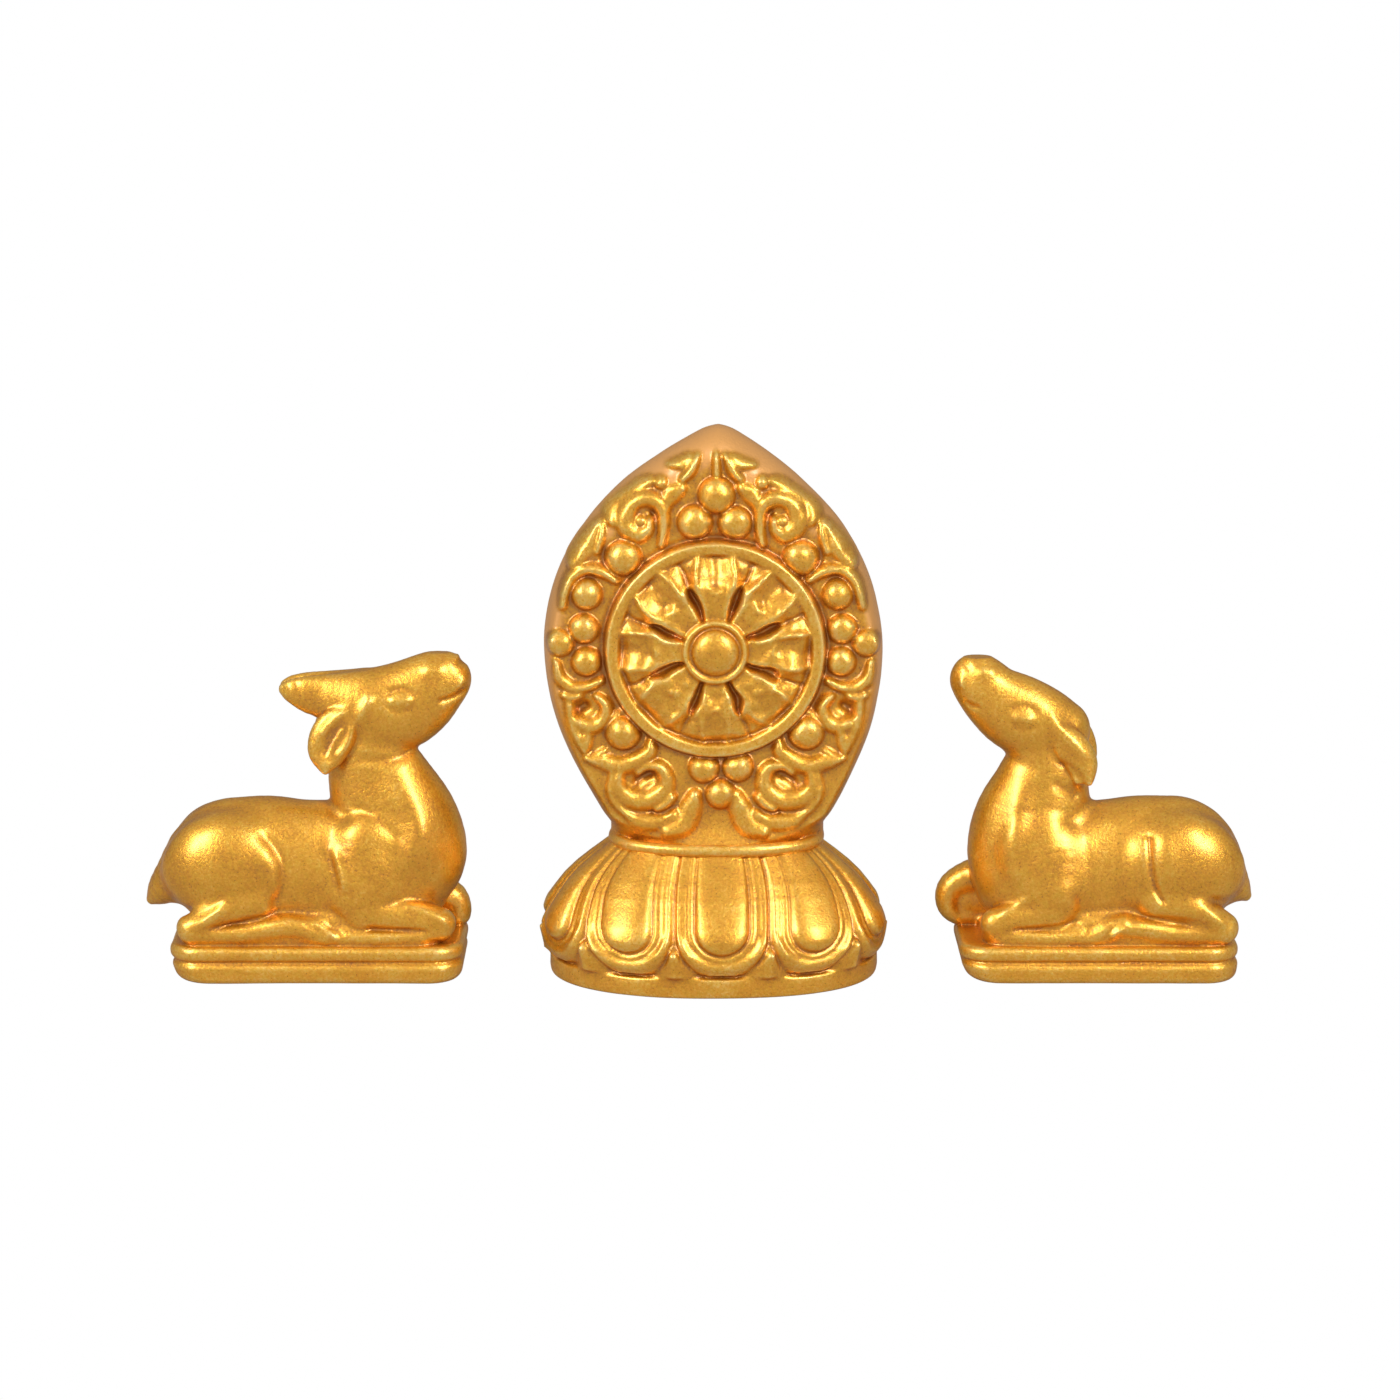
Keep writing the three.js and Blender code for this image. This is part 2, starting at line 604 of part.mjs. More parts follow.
// Neck and head stations of each deer: x, y, z over the plinth, radius in profile, half width
const BUCK_NECK = [
  [14.8, 0, 10, 8, 6.8], [14.4, 0, 13.5, 9.5, 7.2], [12.8, 0, 18, 10.6, 6.8], [11, 0, 23, 9.8, 5.8],
  [9.2, 0, 28, 7.8, 4.9], [8.6, 0, 33, 5.6, 4],
];
const BUCK_HEAD = [
  [4, 0, 38.2, 4.6, 4], [8, 0, 37.4, 6.2, 5], [12, 0, 37.4, 6.9, 5], [15.5, 0, 38.4, 6.9, 4.6],
  [18.8, 0, 40.3, 5.8, 3.9], [21.4, 0, 41.6, 4.8, 3.3],
];
const DOE_NECK = [
  [12, 0, 10, 7.8, 6.8], [11.4, 0, 13.5, 9.3, 7.2], [10.7, 0, 18, 9.8, 6.6], [9.8, 0, 23, 8.3, 5.6],
  [9, 0, 28, 6.5, 4.8], [10, 0, 33, 4.2, 3.8],
];
const DOE_HEAD = [
  [6.2, 0, 33.6, 5.2, 4.2], [9.4, 0, 35, 6.4, 5], [12.8, 0, 36.6, 6.8, 4.8], [16.2, 0, 38.6, 5.7, 4.2],
  [18.8, 0, 40.7, 5, 3.6], [20, 0, 41.7, 4.5, 3.1],
];

// Forms that both deer have on each side; near is 1 on the viewer's side and -1 on the far side
function haunch(near) {
  const y = -near * 4.6;
  const stations = [[-18, y, 11.6, 6.4, 4.2], [-14.4, y, 11.8, 8.9, 5.4], [-10.8, y, 11.4, 6.9, 4.4]];
  return body(stations, { sides: 9 });
}

function hindLeg(near) {
  const y = -near * 7.8;
  const shank = [[-9.5, 0.9 * y, 6.8, 3.2, 2.4], [-15, y, 5.8, 2.8, 2.4], [-19.6, y, 2.8, 2.5, 2.2]];
  const cannon = [
    [-19.6, y, 2.1, 2, 2.1], [-12, y, 1.9, 1.7, 1.9], [-4, y, 2.9, 2, 1.9], [1.6, y, 1.2, 1.3, 1.6],
  ];
  return [body(shank), body(cannon)];
}

function foreleg(near, knee) {
  const y = -near * 6.6;
  const upper = [[9.4, 0.8 * y, 14.4, 6.2, 3], [7.6, y, 9, 5.2, 2.9], [7, y, 4.4, 2.8, 2.4]];
  const forearm = [[8, y, 5, 3.2, 2.7], [knee, y, 3.1, 2.5, 2.3]];
  const out = 1.12 * y;
  const cannon = [[knee, y, 2, 1.9, 2.1], [0.55 * knee, out, 1.2, 1.5, 1.9], [3.2, out, 1.4, 1.6, 1.8]];
  return [body(upper), body(forearm), body(cannon)];
}

// The far foreleg is held up in front: its knee stands before the chest
function raisedForeleg(knee, height) {
  const y = 4.6;
  const forearm = [[13, y, 8.2, 3.5, 3], [knee, y, height, 2.4, 2.4]];
  const cannon = [[knee, y, height - 0.8, 2.1, 2.2], [knee - 5, y, 1, 1.9, 2]];
  const fold = [[14, y, 3.6, 3.8, 1.6], [knee - 3, y, 3.8, 3.2, 1.2]];
  return [forearm, cannon, fold].map((stations) => body(stations));
}

function ear(near, base, tip, halfWidth) {
  const mid = (a, b, t) => a + (b - a) * t;
  const stations = [[0, 0.5], [0.3, 0.95], [0.6, 0.9], [0.85, 0.5], [1, 0.22]].map(([t, w]) => [
    mid(base[0], tip[0], t) - 0.9 * Math.sin(Math.PI * t),
    -near * (3.6 + 1.3 * Math.sin((Math.PI / 2) * t)),
    mid(base[1], tip[1], t),
    halfWidth * w,
    1.4,
  ]);
  return body(stations, { sides: 6 });
}

function horn(near) {
  const y = -near * 1.5;
  const stations = [
    [7.5, y, 39, 3.8, 2.2], [1, y, 39.1, 3.4, 1.8], [-2.6, y, 39.8, 2.3, 1.4], [-4.7, 0.8 * y, 40.2, 1.2, 1],
  ];
  return body(stations, { sides: 7 });
}

function tail(tipX, tipZ) {
  const root = [tipX + 6, 0, tipZ + 8.1, 3, 3.2];
  const middle = [tipX + 2.8, 0, tipZ + 2.9, 2.7, 3];
  return body([root, middle, [tipX, 0, tipZ, 1, 1.2]], { sides: 7 });
}

function eye(near, x, z) {
  const y = -near * 4.3;
  return body([[x - 1.1, y, z - 0.3, 1, 1], [x + 1.1, y, z + 0.3, 0.9, 0.9]], { sides: 6 });
}

function deer(name, centre, length, pieces) {
  const both = [1, -1].flatMap((near) => [haunch(near), ...hindLeg(near)]);
  const trunk = body(TRUNK, { sides: 12, cap: 2 });
  const mesh = meshOf(name, cutAtFloor(join([...plinth(length), trunk, ...both, ...pieces])));
  mesh.position.x = centre;
  return mesh;
}

function buck() {
  const knee = 19.8;
  return deer("buck", BUCK_CENTRE, BUCK_PLINTH_LENGTH, [
    body(BUCK_NECK, { sides: 10 }),
    body(BUCK_HEAD, { sides: 10 }),
    ...[1, -1].map(horn),
    ...[1, -1].map((near) => ear(near, [4, 36.6], [0.9, 27.4], 3.6)),
    ...foreleg(1, knee),
    ...raisedForeleg(21.6, 5.4),
    tail(-27, 5),
    ...[1, -1].map((near) => eye(near, 12.8, 39.6)),
  ]);
}

function doe() {
  const knee = 16.4;
  const mesh = deer("doe", DOE_CENTRE, DOE_PLINTH_LENGTH, [
    body(DOE_NECK, { sides: 10 }),
    body(DOE_HEAD, { sides: 10 }),
    ear(1, [7, 33.6], [1, 25.2], 2.5),
    ear(-1, [5.4, 35], [2.2, 24], 3.1),
    ...foreleg(1, knee),
    ...raisedForeleg(23.2, 6.4),
    tail(-24.6, 5.6),
    ...[1, -1].map((near) => eye(near, 11.8, 37.4)),
  ]);
  mesh.scale.x = -1;
  return mesh;
}

const set = new THREE.Group();
set.add(dharmaWheel(), buck(), doe());

export default set;
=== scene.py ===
"""Looks of the altar set: a dharma wheel between a lying buck and a lying doe, all cast and painted gold.

Each piece is modelled like clay, as a signed distance on a fine grid, in mm: bodies are joined softly, and
strokes raise or dent the surface. It is then cast into closed meshes that stand for its CAD node. Each deer
is one mesh. The wheel is two: its frame and its lotus base.
"""

import json
import math

import bpy
import numpy as np
import openvdb
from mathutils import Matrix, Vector

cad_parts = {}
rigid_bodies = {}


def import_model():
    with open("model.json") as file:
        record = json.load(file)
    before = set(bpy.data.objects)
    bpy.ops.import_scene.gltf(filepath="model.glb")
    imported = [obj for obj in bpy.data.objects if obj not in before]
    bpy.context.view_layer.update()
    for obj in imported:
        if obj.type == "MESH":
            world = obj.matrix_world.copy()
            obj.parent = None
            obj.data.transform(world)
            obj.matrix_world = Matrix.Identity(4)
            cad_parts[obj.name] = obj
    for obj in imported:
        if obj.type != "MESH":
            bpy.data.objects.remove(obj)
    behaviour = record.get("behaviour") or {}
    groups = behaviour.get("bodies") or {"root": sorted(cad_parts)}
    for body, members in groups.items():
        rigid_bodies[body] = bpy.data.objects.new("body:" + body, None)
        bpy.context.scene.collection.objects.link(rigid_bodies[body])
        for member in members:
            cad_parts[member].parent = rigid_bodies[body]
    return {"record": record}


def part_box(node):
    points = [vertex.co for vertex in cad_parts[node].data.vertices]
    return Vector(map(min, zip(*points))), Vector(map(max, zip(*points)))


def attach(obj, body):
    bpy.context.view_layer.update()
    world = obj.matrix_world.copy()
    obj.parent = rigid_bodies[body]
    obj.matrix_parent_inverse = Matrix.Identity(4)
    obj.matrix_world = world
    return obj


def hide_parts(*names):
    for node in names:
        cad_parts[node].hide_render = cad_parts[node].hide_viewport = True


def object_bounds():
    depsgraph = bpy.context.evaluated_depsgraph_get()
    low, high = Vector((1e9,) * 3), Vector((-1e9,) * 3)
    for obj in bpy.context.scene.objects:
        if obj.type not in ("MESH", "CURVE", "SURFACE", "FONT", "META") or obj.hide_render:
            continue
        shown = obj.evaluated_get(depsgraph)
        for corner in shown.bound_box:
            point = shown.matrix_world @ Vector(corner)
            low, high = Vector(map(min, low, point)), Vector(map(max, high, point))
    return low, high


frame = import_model()
CAD_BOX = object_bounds()

MM = 0.001

# Fineness of the clay, and how far from the surface it holds true distances
DEER_GRAIN = 0.28
WHEEL_GRAIN = 0.22
BAND = 1.6
MOST_TRIANGLES = 190000
# Steps in each span of a smoothed path, and guards against a division by nothing
BODY_STEPS = 4
STROKE_STEPS = 6
TINY = 1e-9
SMALL = 1e-6
# A brush stroke reaches this many half widths. One longer than THIN_FROM of them runs out at its ends.
BRUSH_REACH = 2.6
THIN_FROM = 5
THIN_OVER = 3
END_STRENGTH = 0.15
# A laid strip or ball: how far its window reaches, how steeply it falls outside and how softly it joins
LAY_REACH = 1.5
FALL = 4
STRIP_JOIN = 0.25
BALL_JOIN = 0.15
GROOVE_WIDTH = 0.24
CROWN_POWER = 0.75
# Unevenness of the hand: its height, the widths of its bumps, the share of the fine ones and their softness
HAND_UNEVEN = 0.09
BROAD_BUMP = 7
FINE_BUMP = 2.2
FINE_SHARE = 0.3
HAND_SOFTNESS = 3
UNDERSIDE_ROUND = 0.3
# Hollows and high edges are told by the mean distance to the surface within a fine and a broad reach
FINE_REACH = 0.45
BROAD_REACH = 1.4
FINE_WEIGHT = 1.3
BROAD_WEIGHT = 0.4


def box_mm(node):
    low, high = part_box(node)
    return np.array(low) / MM, np.array(high) / MM


def mount_mm(name):
    mounts = {m["name"]: m["pos_m"] for m in frame["record"]["mounts"]}
    return np.array(mounts[name]) / MM


def in_scene(name, data):
    thing = bpy.data.objects.new(name, data)
    bpy.context.scene.collection.objects.link(thing)
    return thing


def smooth_min(a, b, k):
    h = np.maximum(k - np.abs(a - b), 0) / k
    return np.minimum(a, b) - h * h * (k / 4)


def smooth_max(a, b, k):
    return -smooth_min(-a, -b, k)


def smooth_step(t):
    t = np.clip(t, 0, 1)
    return t * t * (3 - 2 * t)


def bell(distance, width):
    return np.exp(-((distance / width) ** 2))


def read(pairs, at):
    """Reads a broken line through pairs at one or more places."""
    pairs = np.array(pairs, float)
    return np.interp(at, pairs[:, 0], pairs[:, 1])


def curve(stations, steps):
    """Stations of a path, any numbers in each, smoothed into more stations."""
    p = np.asarray(stations, float)
    if len(p) < 3:
        t = np.linspace(0, 1, steps + 1)[:, None]
        return p[0] + (p[-1] - p[0]) * t
    p = np.vstack([2 * p[0] - p[1], p, 2 * p[-1] - p[-2]])
    t = np.arange(steps)[:, None] / steps
    rows = []
    for a, b, c, d in zip(p[:-3], p[1:-2], p[2:-1], p[3:]):
        rows.append(b + 0.5 * t * (c - a + t * (2 * a - 5 * b + 4 * c - d + t * (3 * b - 3 * c + d - a))))
    return np.vstack([*rows, p[-2:-1]])


def soft_noise(shape, cells, rng):
    """Smooth random values from -1 to 1 on a grid, with so many cells along each axis."""
    out = rng.uniform(-1, 1, [c + 2 for c in cells])
    for axis, (count, cell) in enumerate(zip(shape, cells)):
        at = np.linspace(0, cell, count)
        k = np.floor(at).astype(int)
        t = smooth_step(at - k).reshape([-1 if i == axis else 1 for i in range(out.ndim)])
        out = np.take(out, k, axis) * (1 - t) + np.take(out, k + 1, axis) * t
    return out.astype(np.float32)


def box_blur(values, reach):
    """Mean over a block that reaches so many grid steps to each side."""
    out = values
    for axis in range(values.ndim):
        pad = [(reach + 1, reach) if i == axis else (0, 0) for i in range(values.ndim)]
        total = np.cumsum(np.pad(out, pad, mode="edge"), axis=axis, dtype=np.float32)
        ahead = np.take(total, range(2 * reach + 1, total.shape[axis]), axis=axis)
        behind = np.take(total, range(total.shape[axis] - 2 * reach - 1), axis=axis)
        out = (ahead - behind) / (2 * reach + 1)
    return out


def between(axes, low, high):
    """Slices of the axes between two places."""
    return tuple(slice(*np.searchsorted(axis, (a, b))) for axis, a, b in zip(axes, low, high))


class Sheet:
    """Heights over a plane, on a grid of places. Strokes and balls are laid on it."""

    def __init__(self, across, up):
        self.across = np.asarray(across, np.float32)
        self.up = np.asarray(up, np.float32)
        self.height = np.zeros((len(across), len(up)), np.float32)

    def window(self, low, high):
        cut = between((self.across, self.up), low, high)
        return cut, self.across[cut[0]][:, None], self.up[cut[1]][None, :]

    def nearness(self, path, reach):
        """Distance to a path in half widths, and the share of its length where that is measured."""
        path = curve(path, STROKE_STEPS)
        edge = reach * path[:, 2].max()
        cut, u, v = self.window(path[:, :2].min(0) - edge, path[:, :2].max(0) + edge)
        best = np.full(np.broadcast_shapes(u.shape, v.shape), np.inf, np.float32)
        along = np.zeros_like(best)
        for i, (a, b) in enumerate(zip(path[:-1], path[1:])):
            du, dv = b[0] - a[0], b[1] - a[1]
            t = np.clip(((u - a[0]) * du + (v - a[1]) * dv) / max(du * du + dv * dv, TINY), 0, 1)
            gap = np.hypot(u - a[0] - t * du, v - a[1] - t * dv) / (a[2] + (b[2] - a[2]) * t)
            closer = gap < best
            best = np.where(closer, gap, best)
            along = np.where(closer, (i + t) / (len(path) - 1), along)
        return cut, best, along

    def brush(self, path, amount):
        """Raises or dents the sheet softly along a path. A thin stroke runs out towards its ends."""
        cut, q, along = self.nearness(path, BRUSH_REACH)
        at = np.asarray(path, float)
        lengths = np.hypot(*np.diff(at[:, :2], axis=0).T).sum() / at[:, 2].max()
        to_end = np.minimum(along, 1 - along) * lengths
        fade = smooth_step(END_STRENGTH + to_end / THIN_OVER) if lengths > THIN_FROM else 1
        self.height[cut] += amount * fade * np.exp(-q * q)

    def lay(self, path, rise, groove=0.0):
        """Lays a rounded strip along a path, with a groove along its middle as a share of its height."""
        cut, q, _ = self.nearness(path, LAY_REACH)
        crown = np.clip(1 - q * q, 0, 1) ** CROWN_POWER * (1 - groove * bell(q, GROOVE_WIDTH))
        strip = np.where(q < 1, rise * crown, -FALL * (q - 1))
        self.height[cut] = smooth_max(self.height[cut], strip, STRIP_JOIN)

    def ball(self, place, radius, rise):
        u0, v0 = place
        edge = LAY_REACH * radius
        cut, u, v = self.window((u0 - edge, v0 - edge), (u0 + edge, v0 + edge))
        q = np.hypot(u - u0, v - v0) / radius
        dome = np.where(q < 1, rise * radius * np.sqrt(np.clip(1 - q * q, 0, 1)), -FALL * (q - 1))
        self.height[cut] = smooth_max(self.height[cut], dome, BALL_JOIN)


class Clay:
    """A signed distance on a grid of points, in mm, less than 0 inside the piece."""

    def __init__(self, low, high, step):
        self.step = step
        self.low = np.asarray(low, float)
        counts = np.ceil((np.asarray(high) - self.low) / step).astype(int) + 1
        self.axes = [(self.low[k] + step * np.arange(counts[k])).astype(np.float32) for k in range(3)]
        self.field = np.full(counts, BAND, np.float32)

    def spread(self):
        x, y, z = self.axes
        return x[:, None, None], y[None, :, None], z[None, None, :]

    def window(self, low, high):
        cut = between(self.axes, low, high)
        x, y, z = (axis[part] for axis, part in zip(self.axes, cut))
        return cut, x[:, None, None], y[None, :, None], z[None, None, :]

    def add(self, path, blend):
        """Joins a tapering body on, whose stations are x, y, z, radius in profile and half width."""
        path = curve(path, BODY_STEPS)
        far = BAND + blend
        reach = path[:, 3:].max() + far
        whole, x, y, z = self.window(path[:, :3].min(0) - reach, path[:, :3].max(0) + reach)
        near = np.full(np.broadcast_shapes(x.shape, y.shape, z.shape), far, np.float32)
        for a, b in zip(path[:-1], path[1:]):
            around = max(a[3:].max(), b[3:].max()) + far
            cut, x, y, z = self.window(np.minimum(a, b)[:3] - around, np.maximum(a, b)[:3] + around)
            e = b[:3] - a[:3]
            t = ((x - a[0]) * e[0] + (y - a[1]) * e[1] + (z - a[2]) * e[2]) / max(e @ e, TINY)
            t = np.clip(t, 0, 1)
            inside, across = a[3] + (b[3] - a[3]) * t, a[4] + (b[4] - a[4]) * t
            flat = (x - a[0] - t * e[0]) ** 2 + (z - a[2] - t * e[2]) ** 2
            side = (y - a[1] - t * e[1]) ** 2
            k0 = np.sqrt(flat / inside**2 + side / across**2)
            k1 = np.sqrt(flat / inside**4 + side / across**4) + SMALL
            local = tuple(slice(c.start - w.start, c.stop - w.start) for c, w in zip(cut, whole))
            near[local] = np.minimum(near[local], k0 * (k0 - 1) / k1)
        self.field[whole] = smooth_min(self.field[whole], near, blend)

    def add_tier(self, ends, half_depth, corner, bottom, top, edge, blend=0.25, tucks=(0, 0)):
        """Joins on a flat block with round corners and edges, and with ends along x tucked in below."""
        x, y, z = self.spread()
        low = np.clip(1 - z / PLINTH_TOP, 0, 1) ** 2
        rear, fore = ends[0] + tucks[0] * low, ends[1] - tucks[1] * low
        middle, half_length = (rear + fore) / 2, (fore - rear) / 2
        qx, qy = np.abs(x - middle) - half_length + corner, np.abs(y) - half_depth + corner
        plan = np.hypot(np.maximum(qx, 0), np.maximum(qy, 0)) + np.minimum(np.maximum(qx, qy), 0) - corner
        rise = np.abs(z - (bottom + top) / 2) - (top - bottom) / 2
        a, b = plan + edge, rise + edge
        tier = np.hypot(np.maximum(a, 0), np.maximum(b, 0)) + np.minimum(np.maximum(a, b), 0) - edge
        self.field = smooth_min(self.field, tier.astype(np.float32), blend)

    def emboss(self, sheet):
        """Raises the front and then the back by the heights of a sheet across x and z."""
        for side in (-1, 1):
            weight = smooth_step(0.5 + 0.5 * side * self.axes[1])
            self.field -= sheet.height[:, None, :] * weight[None, :, None]

    def finish(self, seed):
        """Gives the surface the unevenness of a hand-made casting, and cuts the underside flat."""
        rng = np.random.default_rng(seed)
        sizes = [axis[-1] - axis[0] for axis in self.axes]
        broad = soft_noise(self.field.shape, [max(2, round(s / BROAD_BUMP)) for s in sizes], rng)
        fine = soft_noise(self.field.shape, [max(2, round(s / FINE_BUMP)) for s in sizes], rng)
        self.field += HAND_UNEVEN * box_blur(broad + FINE_SHARE * fine, HAND_SOFTNESS)
        self.field = np.clip(smooth_max(self.field, -self.axes[2], UNDERSIDE_ROUND), -BAND, BAND)


def sample(values, at):
    """Values of a grid at places given in grid steps, straight between the grid's points."""
    top = np.array(values.shape) - 2
    k = np.clip(np.floor(at).astype(int), 0, top)
    t = at - k
    out = np.zeros(len(at))
    for corner in range(8):
        step = [(corner >> axis) & 1 for axis in range(3)]
        weight = np.prod([t[:, a] if step[a] else 1 - t[:, a] for a in range(3)], axis=0)
        out += weight * values[k[:, 0] + step[0], k[:, 1] + step[1], k[:, 2] + step[2]]
    return out


def cast(name, node_name, clay, place=(0, 0, 0), flip=1, extra=None):
    """Casts the clay into one mesh, and marks how hollow or high each vertex lies, with any extra."""
    volume = openvdb.FloatGrid(BAND)
    volume.copyFromArray(clay.field)
    steps, _, quads = volume.convertToPolygons(isovalue=0.0, adaptivity=0.0)
    steps = steps.astype(float)
    fine = sample(box_blur(clay.field, round(FINE_REACH / clay.step)), steps)
    broad = sample(box_blur(clay.field, round(BROAD_REACH / clay.step)), steps)
    points = steps * clay.step + clay.low
    # The relief mark is low in hollows and high on raised edges; the paint turns it into painted shade in
    # hollows and a painted highlight on high edges
    marks = {"relief": np.clip(0.5 + FINE_WEIGHT * fine + BROAD_WEIGHT * broad, 0, 1)}
    if extra:
        marks.update(extra(points))
    points[:, 0] *= flip
    if flip < 0:
        quads = quads[:, ::-1]
    low, high = box_mm(node_name)
    points = np.clip(points + place, low, high) * MM
    mesh = bpy.data.meshes.new(f"{name}_casting")
    mesh.vertices.add(len(points))
    mesh.vertices.foreach_set("co", points.ravel())
    mesh.loops.add(quads.size)
    mesh.loops.foreach_set("vertex_index", quads.ravel().astype(np.int32))
    mesh.polygons.add(len(quads))
    mesh.polygons.foreach_set("loop_start", np.arange(0, quads.size, 4, dtype=np.int32))
    mesh.polygons.foreach_set("use_smooth", np.ones(len(quads), bool))
    mesh.update(calc_edges=True)
    for mark, values in marks.items():
        mesh.attributes.new(mark, "FLOAT", "POINT").data.foreach_set("value", values.astype(np.float32))
    piece = in_scene(f"{name}_casting", mesh)
    if 2 * len(quads) > MOST_TRIANGLES:
        thin_out(piece, MOST_TRIANGLES / (2 * len(quads)))
    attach(piece, "root")
    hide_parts(node_name)


def thin_out(piece, ratio):
    """Fewer faces where the surface is plain."""
    modifier = piece.modifiers.new("thin_out", "DECIMATE")
    modifier.ratio = ratio
    bpy.context.view_layer.update()
    slim = bpy.data.meshes.new_from_object(piece.evaluated_get(bpy.context.evaluated_depsgraph_get()))
    piece.modifiers.clear()
    old, piece.data = piece.data, slim
    bpy.data.meshes.remove(old)
    slim.polygons.foreach_set("use_smooth", np.ones(len(slim.polygons), bool))


# Deer: x runs forward from the middle of the plinth, y to the far side, z up from the shelf, all in mm.
# A body's stations are x, y, z, radius in profile, half width.

# Dents are drawn wider and shallower than their values say. Strokes from this half width on are softened.
DENT_SPREAD = 1.45
DENT_DEPTH = 0.6
BROAD_STROKE = 1.25
BROAD_SOFTNESS = 3
PLINTH_TOP = 6.1
PLINTH_STEP = 3.6
PLINTH_CORNER = 5
PLINTH_INSET = 0.2
PLINTH_SWELL = 0.3
PLINTH_LENGTH = {"buck": 46.8, "doe": 44.5}
HALF_DEPTH = 10.5
# Middle of the haunch, and seed of the casting's unevenness
HAUNCH_AT = {"buck": -14.4, "doe": -13.2}
SEEDS = {"buck": 4, "doe": 3}
# How far the plinth is tucked in at the shelf, at its rear and its fore end
TUCKS = {"buck": (1.6, 0.8), "doe": (0.6, 2)}
# The low ground on the plinth that the legs lie on
GROUND_INSETS = (2, 4)
GROUND_HALF_DEPTH = 8.9
GROUND_CORNER = 4
GROUND_HEIGHTS = (PLINTH_TOP - 1, PLINTH_TOP + 1.5)
SEAM = 0.1


def join(clay, stations, blend):
    """Joins on a body that is drawn from the top of the plinth up."""
    clay.add([(x, y, z + PLINTH_TOP, *radii) for x, y, z, *radii in stations], blend)


BUCK_TRUNK = [
    (-13, 0, 11, 11, 7.6), (-8, 0, 10.8, 11.4, 8), (-3, 0, 10.3, 11.4, 7.8), (5, 0, 9.8, 11.3, 8.1),
    (10.4, 0, 9.2, 9.4, 8.2),
]
DOE_TRUNK = [
    (-11.7, 0, 11, 11.3, 7.6), (-7, 0, 10.7, 11.6, 8), (-3, 0, 10.3, 11.5, 7.8), (5, 0, 9.8, 11, 8.1),
    (10.4, 0, 9.2, 9.2, 8.2),
]
BUCK_NECK = [
    (14.2, 0, 10, 7.7, 6.8), (14.4, 0, 13.5, 9.4, 7.2), (12.9, 0, 18, 9.6, 6.8), (10.7, 0, 23, 8.6, 5.8),
    (9, 0, 28, 7.1, 4.9), (8.6, 0, 33, 5.4, 4),
]
BUCK_HEAD = [
    (4, 0, 38, 4.4, 4), (8, 0, 37.1, 6, 5), (12, 0, 36.7, 7.1, 5), (15.5, 0, 38.2, 6.6, 4.6),
    (18.8, 0, 40.6, 5.4, 3.9), (20.3, 0, 41.5, 4.6, 3.4),
]
DOE_NECK = [
    (12, 0, 10, 7.6, 6.8), (11.5, 0, 13.5, 9.2, 7.2), (10.5, 0, 18, 9.3, 6.6), (9.3, 0, 23, 7.8, 5.6),
    (8.8, 0, 28, 6.2, 4.8), (10.6, 0, 32, 4.6, 3.8),
]
DOE_HEAD = [
    (6.2, 0, 33.3, 4.8, 4.2), (9.6, 0, 34.5, 5.9, 5), (13, 0, 36, 6.2, 4.8), (16.4, 0, 38.2, 5.3, 4.2),
    (18.6, 0, 40.4, 4.7, 3.6), (19.6, 0, 41.5, 4.3, 3.1),
]
BELLY = [(-10, 0, 2.5, 4.6, 8.7), (0, 0, 2.5, 5, 8.7), (9, 0, 2.5, 4.4, 7.6)]


# For each limb near is 1 on the viewer's side, at the front, and -1 on the far side


def haunch(clay, near, middle):
    y = -near * 4.6
    ham = [(middle - 3.6, y, 11.6, 6.4, 4.2), (middle, y, 11.8, 8.9, 5.4), (middle + 3.6, y, 11.4, 6.9, 4.6)]
    join(clay, ham, blend=1.7)


def hind_leg(clay, near):
    y = -near * 7.8
    shank = [(-9.5, 0.9 * y, 6.8, 3.2, 2.4), (-15, y, 5.8, 2.8, 2.4), (-19.6, y, 2.8, 2.5, 2.2)]
    cannon = [
        (-19.6, y, 2.1, 2, 2.1), (-12, y, 1.9, 1.7, 1.9), (-4, y, 2.9, 2, 1.9), (1.6, y, 1.2, 1.3, 1.6),
    ]
    join(clay, shank, blend=0.9)
    join(clay, cannon, blend=0.6)


def foreleg(clay, knee):
    """The near foreleg lies folded on the plinth."""
    y = -6.6
    out = 1.12 * y
    upper = [(9.4, 0.8 * y, 14.4, 6.2, 3), (7.6, y, 9, 5.2, 2.9), (7, y, 4.4, 2.8, 2.4)]
    forearm = [(8, y, 5, 3.2, 2.7), (knee, y, 3.1, 2.5, 2.3)]
    cannon = [(knee, y, 2, 1.9, 2.1), (0.55 * knee, out, 1.2, 1.5, 1.9), (3.2, out, 1.4, 1.6, 1.8)]
    join(clay, upper, blend=1.6)
    join(clay, forearm, blend=0.7)
    join(clay, cannon, blend=0.4)


def raised_foreleg(clay, knee, height):
    """The far foreleg is folded in front of the chest, round a hollow."""
    y = 4.6
    leg = [
        (12, y, 9, 3.8, 3), (knee - 5, y, height + 2.2, 3, 2.8), (knee - 0.8, y, height + 0.4, 2.3, 2.4),
        (knee, y, height - 2.4, 2, 2.3), (knee - 1.4, y, 1.6, 1.7, 2.2), (knee - 5, y, 1.2, 1.7, 2),
    ]
    web = [(14, y, 3.6, 3.8, 2.6), (knee - 3.6, y, 4.2, 3.8, 2.1)]
    join(clay, leg, blend=0.8)
    join(clay, web, blend=0.5)


# An ear's half width from its root to its tip, its distance from the middle of the head at the root, how far
# it spreads from there, how far it bows back and its half thickness
EAR_TAPER = ((0, 0.5), (0.3, 0.95), (0.6, 0.9), (0.85, 0.5), (1, 0.22))
EAR_ROOT = 3.6
EAR_SPREAD = 1.3
EAR_BOW = 0.9
EAR_HALF_THICKNESS = 1.4


